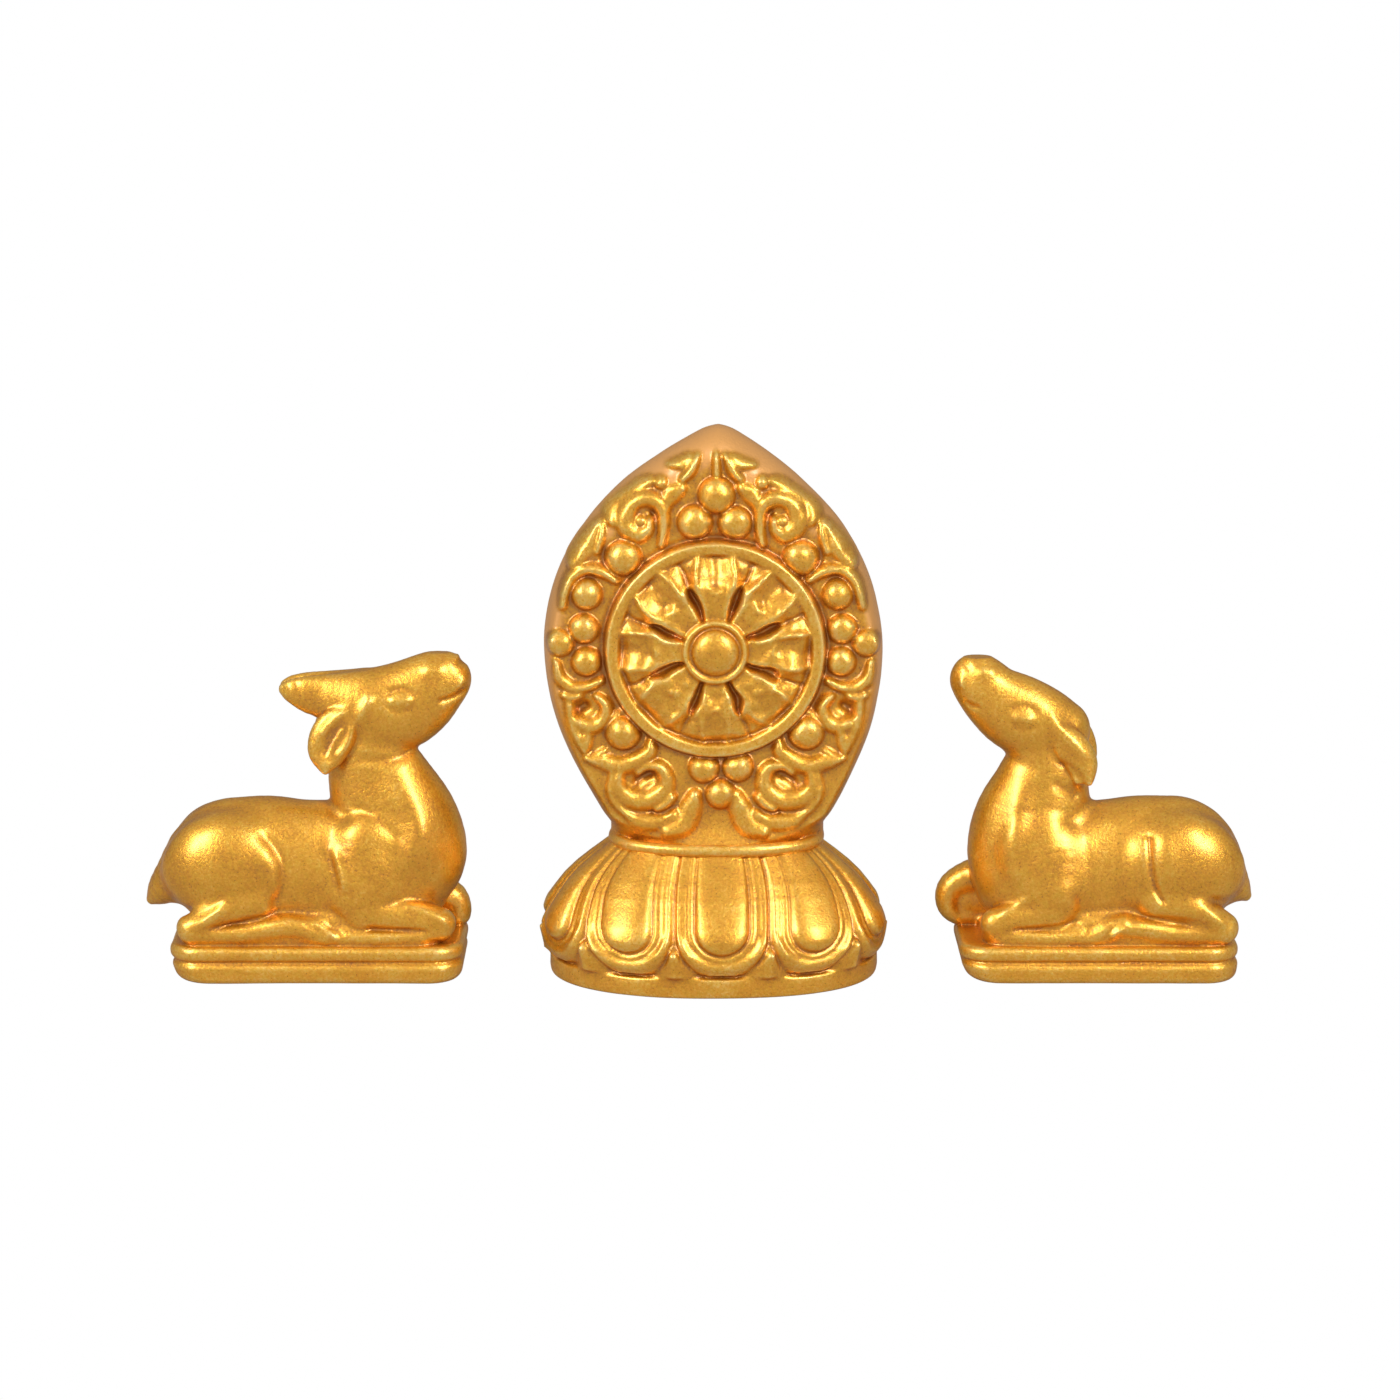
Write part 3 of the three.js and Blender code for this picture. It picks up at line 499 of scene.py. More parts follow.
def ear(clay, near, base, tip, half_width):
    base, tip = np.array(base), np.array(tip)
    stations = []
    for t, width in EAR_TAPER:
        x, z = base + (tip - base) * t
        x -= EAR_BOW * math.sin(math.pi * t)
        y = -near * (EAR_ROOT + EAR_SPREAD * math.sin(math.pi / 2 * t))
        stations.append((x, y, z, half_width * width, EAR_HALF_THICKNESS))
    join(clay, stations, blend=0.5)


def horn(clay, near):
    y = -near * 1.5
    join(clay, [
        (7.5, y, 39, 3.8, 2.2), (1, y, 39.1, 3.4, 1.8), (-2.6, y, 39.8, 2.3, 1.4),
        (-4.5, 0.8 * y, 40.2, 1.2, 1),
    ], blend=1)


def tail(clay, x, z):
    join(clay, [
        (x + 7.4, 0, z + 6.8, 4.6, 5.4), (x + 3.2, 0, z + 2.8, 2.9, 3.8), (x + 0.6, 0, z + 0.4, 0.9, 1.2),
    ], blend=2.6)


# Strokes on both sides of each deer: how far they stand out (or are dented, if less than 0), half width, and
# their places as x, z
BUCK_STROKES = {
    "haunch edge": (-0.6, 0.6, [
        (-9.2, 24.4), (-6.8, 22.4), (-5.2, 19.8), (-4.9, 17), (-5.5, 14.4), (-7.6, 11.9),
    ]),
    "hind knee": (0.45, 1.3, [(-7.8, 20.8), (-6.7, 18.6), (-6.7, 15.6)]),
    "over shank": (-0.6, 0.6, [(-22.4, 11.3), (-19.1, 11.3), (-16.4, 12.4), (-13.9, 14.4)]),
    "shank": (0.5, 1, [(-13.5, 13.6), (-16, 11.4), (-19.1, 9.2)]),
    "belly line": (-0.3, 0.4, [
        (-17.2, 8.9), (-12.2, 10), (-7.6, 10.9), (-3.2, 11.2), (0.8, 10.8),
    ]),
    "hind hoof": (0.35, 0.6, [(-1, 10.5), (1.4, 9), (4, 6.9)]),
    "hoof to hoof": (-0.35, 0.4, [(1.5, 10.4), (3.4, 8.6), (5, 6.9)]),
    "shoulder fold": (0.4, 0.9, [(2.8, 22.4), (3.8, 19.8), (4.7, 17), (4.8, 14.6)]),
    "shoulder line": (-0.45, 0.6, [(1.6, 21.8), (2.6, 19.2), (3.4, 16.4), (3.6, 14)]),
    "shoulder": (0.45, 2.6, [(4, 25.4), (6.2, 22.8)]),
    "neck line": (-0.4, 0.6, [(5.4, 28.6), (8.6, 27), (11.8, 24.8), (14.4, 22.4)]),
    "neck side": (0.85, 3, [(11.2, 35.4), (13.2, 31.8), (15.6, 28), (17, 24), (16.2, 20), (14.4, 17)]),
    "chest side": (0.45, 2, [(17, 25), (16.6, 22), (15.2, 19.4)]),
    "neck hollow": (-0.7, 1.9, [(9.8, 32), (11.2, 29), (12.6, 26), (13, 23)]),
    "jaw": (-0.6, 0.6, [(6.3, 35.9), (8.6, 35.5), (11.3, 35.4), (14, 35.8), (16.1, 36.8)]),
    "upper lid": (-0.5, 0.34, [(11.3, 45.6), (13, 46.7), (14.9, 46.7), (16.7, 45.5)]),
    "eye": (0.35, 0.8, [(12.9, 45.1), (14.8, 45.1)]),
    "lower lid": (-0.3, 0.3, [(11.5, 45), (12.4, 43.8), (13.7, 43.3), (15.5, 43.9), (16.5, 45.1)]),
    "cheek": (0.45, 0.8, [(9.6, 46.4), (8.2, 44), (6.5, 41)]),
    "mouth": (-0.7, 0.34, [(19.4, 44.8), (22, 45.3), (24.4, 46.6)]),
    "lip": (0.35, 0.6, [(24, 49), (23.6, 47.6), (22, 46.5)]),
    "nostril rim": (0.25, 0.4, [(22.4, 50.4), (23, 51.6), (24.2, 51)]),
    "nostril": (-0.45, 0.42, [(22.9, 50.9), (23.7, 50.5)]),
    "nose": (0.25, 1, [(18.4, 49.9), (19.8, 49.9)]),
    "ear hollow": (-1.7, 1, [(5.6, 42.4), (3.7, 40), (2.2, 37), (1.4, 35.4)]),
    "ear fold": (0.35, 0.35, [(5, 41), (3.4, 38.5), (2.2, 35.8)]),
    "ear back edge": (0.3, 0.5, [(5.6, 44), (3.3, 41.9), (1.2, 39.4)]),
    "ear front edge": (0.3, 0.5, [(6.4, 42), (5.7, 38.6), (3.6, 35.8)]),
    "horn band": (-0.28, 0.35, [(-3.2, 48.2), (-2.5, 46.8), (-1.9, 45)]),
    "horn tip": (-0.25, 0.4, [(-4.9, 46.6), (-4.6, 46.4)]),
    "forearm": (0.4, 0.8, [(13.2, 13.2), (17.8, 11.8), (21.6, 9.6)]),
    "over cannon": (-0.5, 0.35, [(8, 9), (12.8, 8.7), (18.4, 8.4)]),
}
DOE_STROKES = {
    "haunch edge": (-0.8, 0.38, [(-7.5, 24.2), (-7.6, 21), (-7.9, 17.8), (-8.8, 15), (-10.4, 12.8)]),
    "flank": (0.1, 1, [(-5.4, 24.2), (-5.6, 21), (-5.7, 18)]),
    "hind knee": (0.4, 1.4, [(-9.7, 23.4), (-10.1, 21), (-10.6, 18.4)]),
    "over shank": (-0.5, 0.6, [(-16, 13.6), (-19.1, 13.1), (-22.2, 13)]),
    "shank": (0.45, 0.9, [(-15.8, 12.9), (-18.4, 10.8), (-20.2, 9.3)]),
    "belly line": (-0.45, 0.45, [
        (-4, 10.2), (-6.4, 10.5), (-11, 10.6), (-15.2, 10.3), (-17.6, 9.4),
    ]),
    "toes": (0.4, 0.5, [(-1.5, 7.2), (-2.3, 8.4), (-4, 9.4)]),
    "toes over hoof": (-0.4, 0.4, [(-0.4, 7), (-1.4, 8.5), (-3, 9.9)]),
    "shoulder": (0.25, 2.2, [(6.2, 21.6), (3.4, 22.6)]),
    "shoulder front": (-0.3, 0.9, [(6.8, 20.4), (8, 17.9), (9, 15.6)]),
    "elbow": (0.5, 1.5, [(6, 14.9), (5, 13)]),
    "elbow line": (-0.45, 0.5, [(3.9, 15.2), (3.4, 13), (3.3, 10.8)]),
    "forearm": (0.4, 0.8, [(10.8, 13.9), (14, 12.4), (16.6, 10.6)]),
    "over cannon": (-0.5, 0.35, [(14.4, 8.7), (8.7, 9.1), (2.9, 10)]),
    "neck front": (0.6, 1.5, [(12, 32.8), (13.1, 27.6), (14.2, 23.1), (14, 18.8), (12.6, 16)]),
    "neck hollow": (-0.6, 1.5, [(10.2, 31.4), (10.8, 27.4), (10.9, 23), (10.8, 20)]),
    "neck line": (-0.3, 0.8, [(3.2, 25.8), (6, 24.2), (8.4, 22.8)]),
    "jaw": (-0.35, 0.8, [(15.6, 36.2), (13.6, 34.9), (11, 34.2), (8.6, 34.6)]),
    "upper lid": (-0.42, 0.36, [(15, 43.3), (13.5, 44.1), (11.6, 44), (10, 42.7)]),
    "eye": (0.3, 0.75, [(13.4, 42.4), (11.8, 42.2)]),
    "lower lid": (-0.25, 0.32, [(14.6, 42), (13.6, 40.9), (11.8, 40.5), (10.3, 41.3)]),
    "mouth": (-0.45, 0.3, [(21.8, 44.9), (20.6, 44), (18.8, 43.7)]),
    "lip": (0.3, 0.45, [(22.2, 48.8), (22.2, 47.4), (21.8, 46.4)]),
    "nostril": (-0.35, 0.4, [(21.6, 50.4), (21.1, 49.8)]),
    "nose": (0.3, 1, [(17.6, 49.4), (18.8, 49.4)]),
    "cheek and ear": (0.55, 1.15, [(9, 43.8), (6.6, 40.6), (4.4, 38.4), (1.4, 35.6)]),
    "ear slit": (-0.55, 0.5, [(7.2, 35.4), (4.6, 34.3), (2, 31.9)]),
    "lower ear fold": (0.7, 0.7, [(5.4, 33), (4, 31.8), (2.8, 30.6)]),
    "under the ear": (-0.5, 0.5, [(7, 31.6), (5.6, 30.4), (4.2, 29.5)]),
}


def deer(name, strokes, build):
    low, high = box_mm(name)
    centre = mount_mm(f"{name}_underside")
    flip = 1 if centre[0] < 0 else -1
    ends = sorted(flip * (np.array([low[0], high[0]]) - centre[0]))
    margin = 3 * DEER_GRAIN
    start = (ends[0] - margin, low[1] - margin, -margin)
    stop = (ends[1] + margin, high[1] + margin, high[2] + margin)
    clay = Clay(start, stop, DEER_GRAIN)
    build(clay)
    join(clay, BELLY, blend=0.8)
    for near in (1, -1):
        haunch(clay, near, HAUNCH_AT[name])
        hind_leg(clay, near)
    fine, broad = Sheet(clay.axes[0], clay.axes[2]), Sheet(clay.axes[0], clay.axes[2])
    for amount, half_width, places in strokes.values():
        sheet = fine if half_width < BROAD_STROKE else broad
        if amount < 0:
            amount, half_width = amount * DENT_DEPTH, half_width * DENT_SPREAD
        sheet.brush([(x, z, half_width) for x, z in places], amount)
    fine.height += box_blur(box_blur(broad.height, BROAD_SOFTNESS), BROAD_SOFTNESS)
    clay.emboss(fine)
    half = PLINTH_LENGTH[name] / 2 + PLINTH_SWELL
    ground = (-half + GROUND_INSETS[0], half - GROUND_INSETS[1])
    clay.add_tier(ground, GROUND_HALF_DEPTH, GROUND_CORNER, *GROUND_HEIGHTS, edge=0.8, blend=0.9)
    clay.add_tier((-half, half), HALF_DEPTH, PLINTH_CORNER, 0, PLINTH_STEP, edge=1.3, tucks=TUCKS[name])
    half, depth = half - PLINTH_INSET, HALF_DEPTH - PLINTH_INSET
    clay.add_tier((-half, half), depth, PLINTH_CORNER, PLINTH_STEP - SEAM, PLINTH_TOP, edge=1.1)
    clay.finish(SEEDS[name])
    cast(name, name, clay, centre, flip)


def build_buck(clay):
    join(clay, BUCK_TRUNK, blend=0.5)
    join(clay, BUCK_NECK, blend=1)
    join(clay, BUCK_HEAD, blend=1)
    for near in (1, -1):
        horn(clay, near)
        ear(clay, near, (5.2, 36.6), (1.9, 27.9), half_width=3.6)
    foreleg(clay, knee=19.8)
    raised_foreleg(clay, knee=22, height=4)
    tail(clay, x=-27.4, z=5)


def build_doe(clay):
    join(clay, DOE_TRUNK, blend=0.5)
    join(clay, DOE_NECK, blend=1.5)
    join(clay, DOE_HEAD, blend=1)
    ear(clay, 1, (7.4, 34), (2, 26), half_width=2.9)
    ear(clay, -1, (5.4, 35), (2.2, 24), half_width=3.1)
    foreleg(clay, knee=16.4)
    raised_foreleg(clay, knee=23.4, height=5.9)
    tail(clay, x=-24.6, z=5.6)


deer("buck", BUCK_STROKES, build_buck)
deer("doe", DOE_STROKES, build_doe)


# Wheel: x runs to the right, y to the back, z up from the underside, all in mm

# Half sizes of the grids, with room round the piece
WHEEL_REACH = 28.6
FRAME_REACH = 12.6
LOTUS_REACH = 19.8
WHEEL_TOP = 89
ROOM = 0.6
FRAME_SEED = 5
LOTUS_SEED = 7
OVAL_POWER = 2.3
OVAL_DEPTH = 0.684
LEAST_SLOPE = 0.3
FRAME_TOP = 88.5
TIP_ROUND = 0.5
FRAME_BOTTOM = 20.6
OUTLINE_BOTTOM = 18
OUTLINE_STEPS = 80
FRAME_WIDEST = 52.5
FRAME_HALF_WIDTH = 26.8
NECK_HALF_WIDTH = 17
NECK_HEIGHT = 24.4
THROAT_TOP = 27
THROAT_BOTTOM = 22
FRAME_MIDDLE = 0.6
FRONT_DEPTH = 6.8
BACK_DEPTH = 5.6
THROAT_FLARE = 2
EDGE_POWER = 2
# The border's width at the sides, how much it gains towards the tip, from which height and over how much
BORDER_WIDTH = 1.9
BORDER_GAIN = 2.9
BORDER_FROM = 54
BORDER_OVER = 30
BEAD_HALF_WIDTH = 16.3
BEAD_SHIFT = 0.4
BEAD_SHALLOW = 0.89
BEAD_RADIUS = 0.95
BEAD_HEIGHT = 22
BEAD_JOIN = 0.35
BOTTOM_ROUND = 0.2
# Guard against a division by nothing in the middle of the frame
LEAST = 0.02
DISC_CENTRE = (0.2, 53.9)
DISC_RADIUS = 17.35
LEAN = ((20, 0.6), (30, 0.5), (45, 0), (60, -0.2), (80, -0.1), (85, 0.25), (89, 0.75))

# The ornament around the disc is drawn in steps from the disc's centre, across and up
STEP_ACROSS = 0.1573
STEP_UP = 0.1615
LEAF_SPREAD = 1.34
LEAF_RISE = 0.9
JEWEL_RISE = 0.85
MOAT_DEPTH = 0.25
MOAT_WIDTH = 0.5
DISC_SEAM = 0.15
# Unevenness of the ornament: seed, size of the field, widths of waves and bumps, and their heights
ORNAMENT_SEED = 11
FIELD_SPAN = (57, 69)
WAVE = 2.4
BUMP = 1.1
DISC_WAVE = 0.35
DISC_ROUGHNESS = 1.7
ORNAMENT_UNEVEN = 0.1
LEFT_SHIFT = ((-170, -3), (-60, -1), (0, 1), (60, 4), (150, 5))

# Leaves and curls: rise, groove along the middle as a share of it, then across, up, half width
LEAVES = [
    (1.5, 0, [
        (48, 103, 3), (45, 124, 4.5), (49, 142, 5.5), (62, 149, 6.5), (77, 145, 7.5),
        (83, 133, 8.5), (81, 120, 8), (71, 113, 7), (61, 118, 4.5), (59, 127, 3),
    ]),
    (1.4, 0, [(11, 190, 2), (18, 176, 4), (26, 167, 3)]),
    (1.2, 0.3, [(18, 189, 2), (25, 183, 5), (42, 180, 1.2)]),
    (1.1, 0, [(28, 158, 5), (37, 152, 7), (42, 144, 5), (43, 136, 3)]),
    (1.1, 0, [(57, 166, 3), (67, 161, 5.5), (80, 154, 4), (91, 146, 5), (99, 136, 7.5), (96, 124, 3)]),
    (1.1, 0, [(106, 125, 2), (109, 112, 4.5), (112, 97, 3.5)]),
    (1.3, 0, [(109, 126, 2), (117, 115, 6), (126, 101, 9), (135, 89, 7.5), (139, 82, 2)]),
    (1.4, 0, [(94, 68, 3), (106, 76, 4.5), (121, 79, 5), (136, 73, 5), (144, 58, 4.5), (148, 42, 3)]),
    (1.3, 0, [(157, -12, 2.5), (154, -28, 5), (142, -39, 6), (127, -38, 4.5), (113, -31, 3)]),
    (1.4, 0, [(150, -45, 4), (144, -47, 5), (135, -46, 3)]),
    (1.4, 0, [
        (118, -46, 3), (109, -57, 4.5), (112, -70, 6), (122, -77, 6),
        (134, -75, 5.5), (143, -66, 5), (146, -54, 4),
    ]),
    (1.2, 0, [(146, -60, 3.5), (143, -74, 4.5), (137, -90, 4), (132, -103, 2)]),
    (1.2, 0, [(127, -82, 4), (131, -94, 6), (131, -104, 2)]),
    (1, 0, [(86, -66, 2), (94, -63, 2.5), (103, -69, 2)]),
    (1.4, 0, [
        (64, -91, 3.5), (67, -103, 6), (81, -113, 7),
        (98, -117, 7), (115, -112, 6.5), (131, -109, 2),
    ]),
    (1, 0, [(111, -101, 2), (120, -106, 2.5), (129, -107, 1.5)]),
    (1.5, 0, [
        (97, -124, 4), (99, -138, 6.5), (88, -150, 8), (69, -152, 8), (54, -143, 8),
        (50, -129, 6.5), (57, -118, 5.5), (70, -117, 4), (78, -124, 3),
    ]),
    (1.2, 0, [(104, -122, 3), (106, -142, 4.5), (99, -157, 4), (86, -170, 2)]),
    (1.6, 0, [(45, -148, 4), (52, -155, 5), (60, -160, 3)]),
    (1.4, 0, [(22, -146, 5), (26, -160, 9), (34, -174, 10), (50, -181, 6)]),
    (1.2, 0, [(44, -166, 5), (60, -173, 7), (80, -172, 6), (92, -164, 3)]),
]
SPEAR_RISE = 1.3
SPEAR = [(2, 193, 1.5), (2.5, 184, 4), (2.5, 172, 4.5)]
# Jewels: across, up, radius
JEWELS = [
    (85.5, 90, 17.5), (123, 54, 15), (128, 20, 14.5), (152, 6, 13.5), (127, -12.5, 14.5), (92.5, -83, 17.5),
    (48, 164, 7), (68, 126, 6),
]
MIDDLE_JEWELS = [
    (2.5, 151.5, 18), (-19, 125.5, 17), (21, 124.5, 16.5), (24, -118, 15), (-10, -119, 15), (7, -145, 15),
]
# Dents: rise, less than 0, then across, up, half width
DENTS = [
    (-0.9, [(52, 126, 2.2), (55, 133, 2.6), (62, 137, 2.2)]),
    (-0.5, [(108, 122, 1), (112, 110, 1.3), (115, 96, 1.2)]),
    (-0.8, [(110, 68, 3.5), (122, 70, 4), (131, 66, 3)]),
    (-1.3, [(130, -57, 5), (136, -61, 5), (138, -65, 4)]),
    (-1.1, [(66, -126, 4), (74, -129, 5), (80, -134, 4)]),
    (-0.6, [(43, -158, 1.5), (56, -165, 1.8), (70, -162, 1.2)]),
    (-0.6, [(104, 82, 2), (107, 92, 2), (105, 103, 2)]),
    (-0.5, [(114, -44, 1.5), (124, -43, 1.5), (146, -43, 1.5), (156, -38, 1.5)]),
]


def on_frame(stations, mirrored=False, spread=1.0):
    """Places on the frame, in mm, of stations in drawing steps."""
    placed = []
    for across, up, width in stations:
        if mirrored:
            across = -across - read(LEFT_SHIFT, up)
        placed.append((across * STEP_ACROSS, DISC_CENTRE[1] + up * STEP_UP, width * STEP_UP * spread))
    return placed


# Half width of each petal's head, as a share, round the disc from the top to the right
HEADS = (1, 0.97, 0.95, 0.93, 0.72, 0.98, 0.97, 0.95)
# Profiles of the disc: distance from the middle, then height, or half width for the petals' neck and head
RIM = ((14.6, -1), (15.1, 1.5), (15.5, 1.85), (16.9, 1.98), (17.2, 1.8), (17.5, -1))
HEAD = ((7, 1.7), (9, 2.1), (11, 2.95), (13, 3.05), (15.4, 2.75))
SPINE = ((5, 2.5), (7, 2.75), (9, 3.05), (10.4, 3.1), (12, 2.85), (13.6, 2.4), (15.4, 1.6))
NECK = ((5, 1.5), (6.5, 1.75), (8.5, 2.35), (10, 3.2), (11, 4.2))
HUB_RING = ((0, 2.7), (3.7, 2.7), (3.95, 2.75), (4.2, 3.25), (4.85, 3.4), (5.1, 3.25), (5.5, 0))
HUB_RADIUS = 3.75
HUB_SEAM = 3.8
HUB_BASE = 2.8
HUB_RISE = 2.1
# Petals: where the head starts, the depth of its hollow, crease and falling wings, the rise of its lip, and
# the depth of the wedge between two necks
HEAD_FROM = 9.2
HOLLOW_DEPTH = 1.15
CREASE_DEPTH = 0.35
WING_FALL = 1.3
LIP_RISE = 0.4
WEDGE_DEPTH = 2.1
PETAL_EDGE = 15.8
PETAL_FLOOR = 0.6
# The petals' lower sides are softer
LOW_FALL = 0.9
LOW_HOLLOW = 0.6
LOW_RIDGE = 0.4


def disc_heights(u, v):
    """Dished rim, eight petals with curled heads, domed floor between them and a ringed hub."""
    r = np.hypot(u, v)
    turn = np.arctan2(u, v)
    which = np.round(turn * 4 / np.pi)
    off = turn - which * np.pi / 4
    a, b = r * np.cos(off), np.abs(r * np.sin(off))
    low_half = smooth_step(0.5 - v / np.maximum(r, 0.1))
    head = smooth_step((a - 9.4) / 1.8)
    share = np.take(HEADS, which.astype(int) % len(HEADS))
    ridge_at = share * read(HEAD, a)
    edge_at = a * math.tan(math.pi / 8)
    wing = np.clip((b - ridge_at) / np.maximum(edge_at - ridge_at, 0.3), 0, 1.2)
    spine = read(SPINE, a) - LOW_FALL * smooth_step((a - 13) / 2) * low_half
    hollow = -HOLLOW_DEPTH * smooth_step((a - 8.6) / 2.4) * bell(b, 1.8) * (1 - LOW_HOLLOW * low_half)
    lip = LIP_RISE * np.exp(-(((a - HEAD_FROM - 0.5 * b) / 0.5) ** 2) - (b / 1.1) ** 2)
    ridge = (0.2 + 0.25 * head) * bell(b - ridge_at, 0.42) * (1 - LOW_RIDGE * low_half)
    crease = -CREASE_DEPTH * head * bell(b - edge_at, 0.3)
    wedge = smooth_step((b - read(NECK, a)) / 0.9) * (1 - smooth_step((a - HEAD_FROM) / 1.6))
    petal = spine - WING_FALL * head * wing + hollow + lip + ridge + crease - WEDGE_DEPTH * wedge
    petals = np.where(r < PETAL_EDGE, np.maximum(petal, PETAL_FLOOR), -1)
    heights = smooth_max(read(RIM, r), petals, 0.25)
    dome = HUB_BASE + HUB_RISE * np.sqrt(np.clip(1 - (r / HUB_RADIUS) ** 2, 0, 1))
    return np.maximum(heights, np.maximum(np.where(r < HUB_SEAM, dome, 0), read(HUB_RING, r)))


def frame_relief(x, z):
    """Heights over the field of the frame, drawn at twice the clay's fineness and then softened."""
    fine_x, fine_z = [np.linspace(axis[0], axis[-1], 2 * len(axis) - 1) for axis in (x, z)]
    sheet = Sheet(fine_x, fine_z)
    for mirrored in (False, True):
        for rise, groove, stations in LEAVES:
            sheet.lay(on_frame(stations, mirrored, LEAF_SPREAD), rise * LEAF_RISE, groove)
    sheet.lay(on_frame(SPEAR), SPEAR_RISE)
    for mirrored in (False, True):
        for rise, stations in DENTS:
            sheet.brush(on_frame(stations, mirrored), rise)
    sheet.height = softened(sheet.height)
    jewels = [(jewel, mirrored) for jewel in JEWELS for mirrored in (False, True)]
    for jewel, mirrored in jewels + [(jewel, False) for jewel in MIDDLE_JEWELS]:
        x, z, radius = on_frame([jewel], mirrored)[0]
        sheet.ball((x, z), radius, JEWEL_RISE)
    u, v = fine_x[:, None] - DISC_CENTRE[0], fine_z[None, :] - DISC_CENTRE[1]
    r = np.hypot(u, v)
    moat = -MOAT_DEPTH * bell(r - DISC_RADIUS - MOAT_WIDTH, MOAT_WIDTH)
    rng = np.random.default_rng(ORNAMENT_SEED)
    wave_cells, bump_cells = [[round(length / width) for length in FIELD_SPAN] for width in (WAVE, BUMP)]
    waves = [soft_noise(r.shape, wave_cells, rng) for _ in range(3)]
    bumps = soft_noise(r.shape, bump_cells, rng)
    inner = smooth_step((15.5 - r) / 2) * smooth_step((r - 4.5) / 2)
    disc = disc_heights(u + DISC_WAVE * inner * waves[0], v + DISC_WAVE * inner * waves[1])
    uneven = ORNAMENT_UNEVEN * (bumps + waves[2]) * np.clip(sheet.height, 0, 1)
    disc = disc + DISC_ROUGHNESS * ORNAMENT_UNEVEN * inner * (bumps + waves[2])
    heights = np.where(r < DISC_RADIUS + DISC_SEAM, disc, sheet.height + moat + uneven)
    return softened(heights.astype(np.float32))[::2, ::2]


def softened(heights):
    return box_blur(box_blur(heights, 2), 1)


def bezier(points):
    t = np.linspace(0, 1, OUTLINE_STEPS)[:, None]
    a, b, c, d = np.array(points, float)
    return (1 - t) ** 3 * a + 3 * t * (1 - t) ** 2 * b + 3 * t**2 * (1 - t) * c + t**3 * d


def frame_outline():
    """Right side of the frame's outline, from the neck to the tip."""
    rise, climb = FRAME_WIDEST - NECK_HEIGHT, FRAME_TOP - FRAME_WIDEST
    swell = FRAME_HALF_WIDTH - NECK_HALF_WIDTH
    lower = bezier([
        (NECK_HALF_WIDTH, NECK_HEIGHT), (NECK_HALF_WIDTH + 0.6 * swell, NECK_HEIGHT + 0.34 * rise),
        (FRAME_HALF_WIDTH, FRAME_WIDEST - 0.36 * rise), (FRAME_HALF_WIDTH, FRAME_WIDEST),
    ])
    upper = bezier([
        (FRAME_HALF_WIDTH, FRAME_WIDEST), (FRAME_HALF_WIDTH, FRAME_WIDEST + 0.44 * climb),
        (0.63 * FRAME_HALF_WIDTH, FRAME_WIDEST + 0.78 * climb), (0, FRAME_TOP + TIP_ROUND),
    ])
    return np.vstack([[(NECK_HALF_WIDTH, OUTLINE_BOTTOM)], lower, upper[1:]])


def depth_inside(x, z):
    """Distance inwards from the frame's outline, for every x and z."""
    line = frame_outline()
    half_width = np.interp(z, line[:, 1], line[:, 0])
    across = np.abs(x[:, None] - read(LEAN, z)[None, :])
    best = np.full(across.shape, np.inf, np.float32)
    for (x0, z0), (x1, z1) in zip(line[:-1], line[1:]):
        dx, dz = x1 - x0, z1 - z0
        t = np.clip(((across - x0) * dx + (z - z0) * dz) / (dx * dx + dz * dz), 0, 1)
        best = np.minimum(best, np.hypot(across - x0 - t * dx, z - z0 - t * dz))
    inside = np.where((across < half_width) & (z < line[-1, 1]), best, -best)
    return smooth_min(inside, FRAME_TOP - z, 1)


def border_width(z):
    """Narrow at the sides, wider towards the tip."""
    return BORDER_WIDTH + BORDER_GAIN * smooth_step((z - BORDER_FROM) / BORDER_OVER)


def oval(x, y):
    """Half width of the oval through each place, and how fast it grows there."""
    u, v = np.abs(x), np.abs(y) / OVAL_DEPTH
    size = (u**OVAL_POWER + v**OVAL_POWER) ** (1 / OVAL_POWER) + 0.001
    slope = np.hypot((u / size) ** (OVAL_POWER - 1), (v / size) ** (OVAL_POWER - 1) / OVAL_DEPTH)
    return size, np.maximum(slope, LEAST_SLOPE)


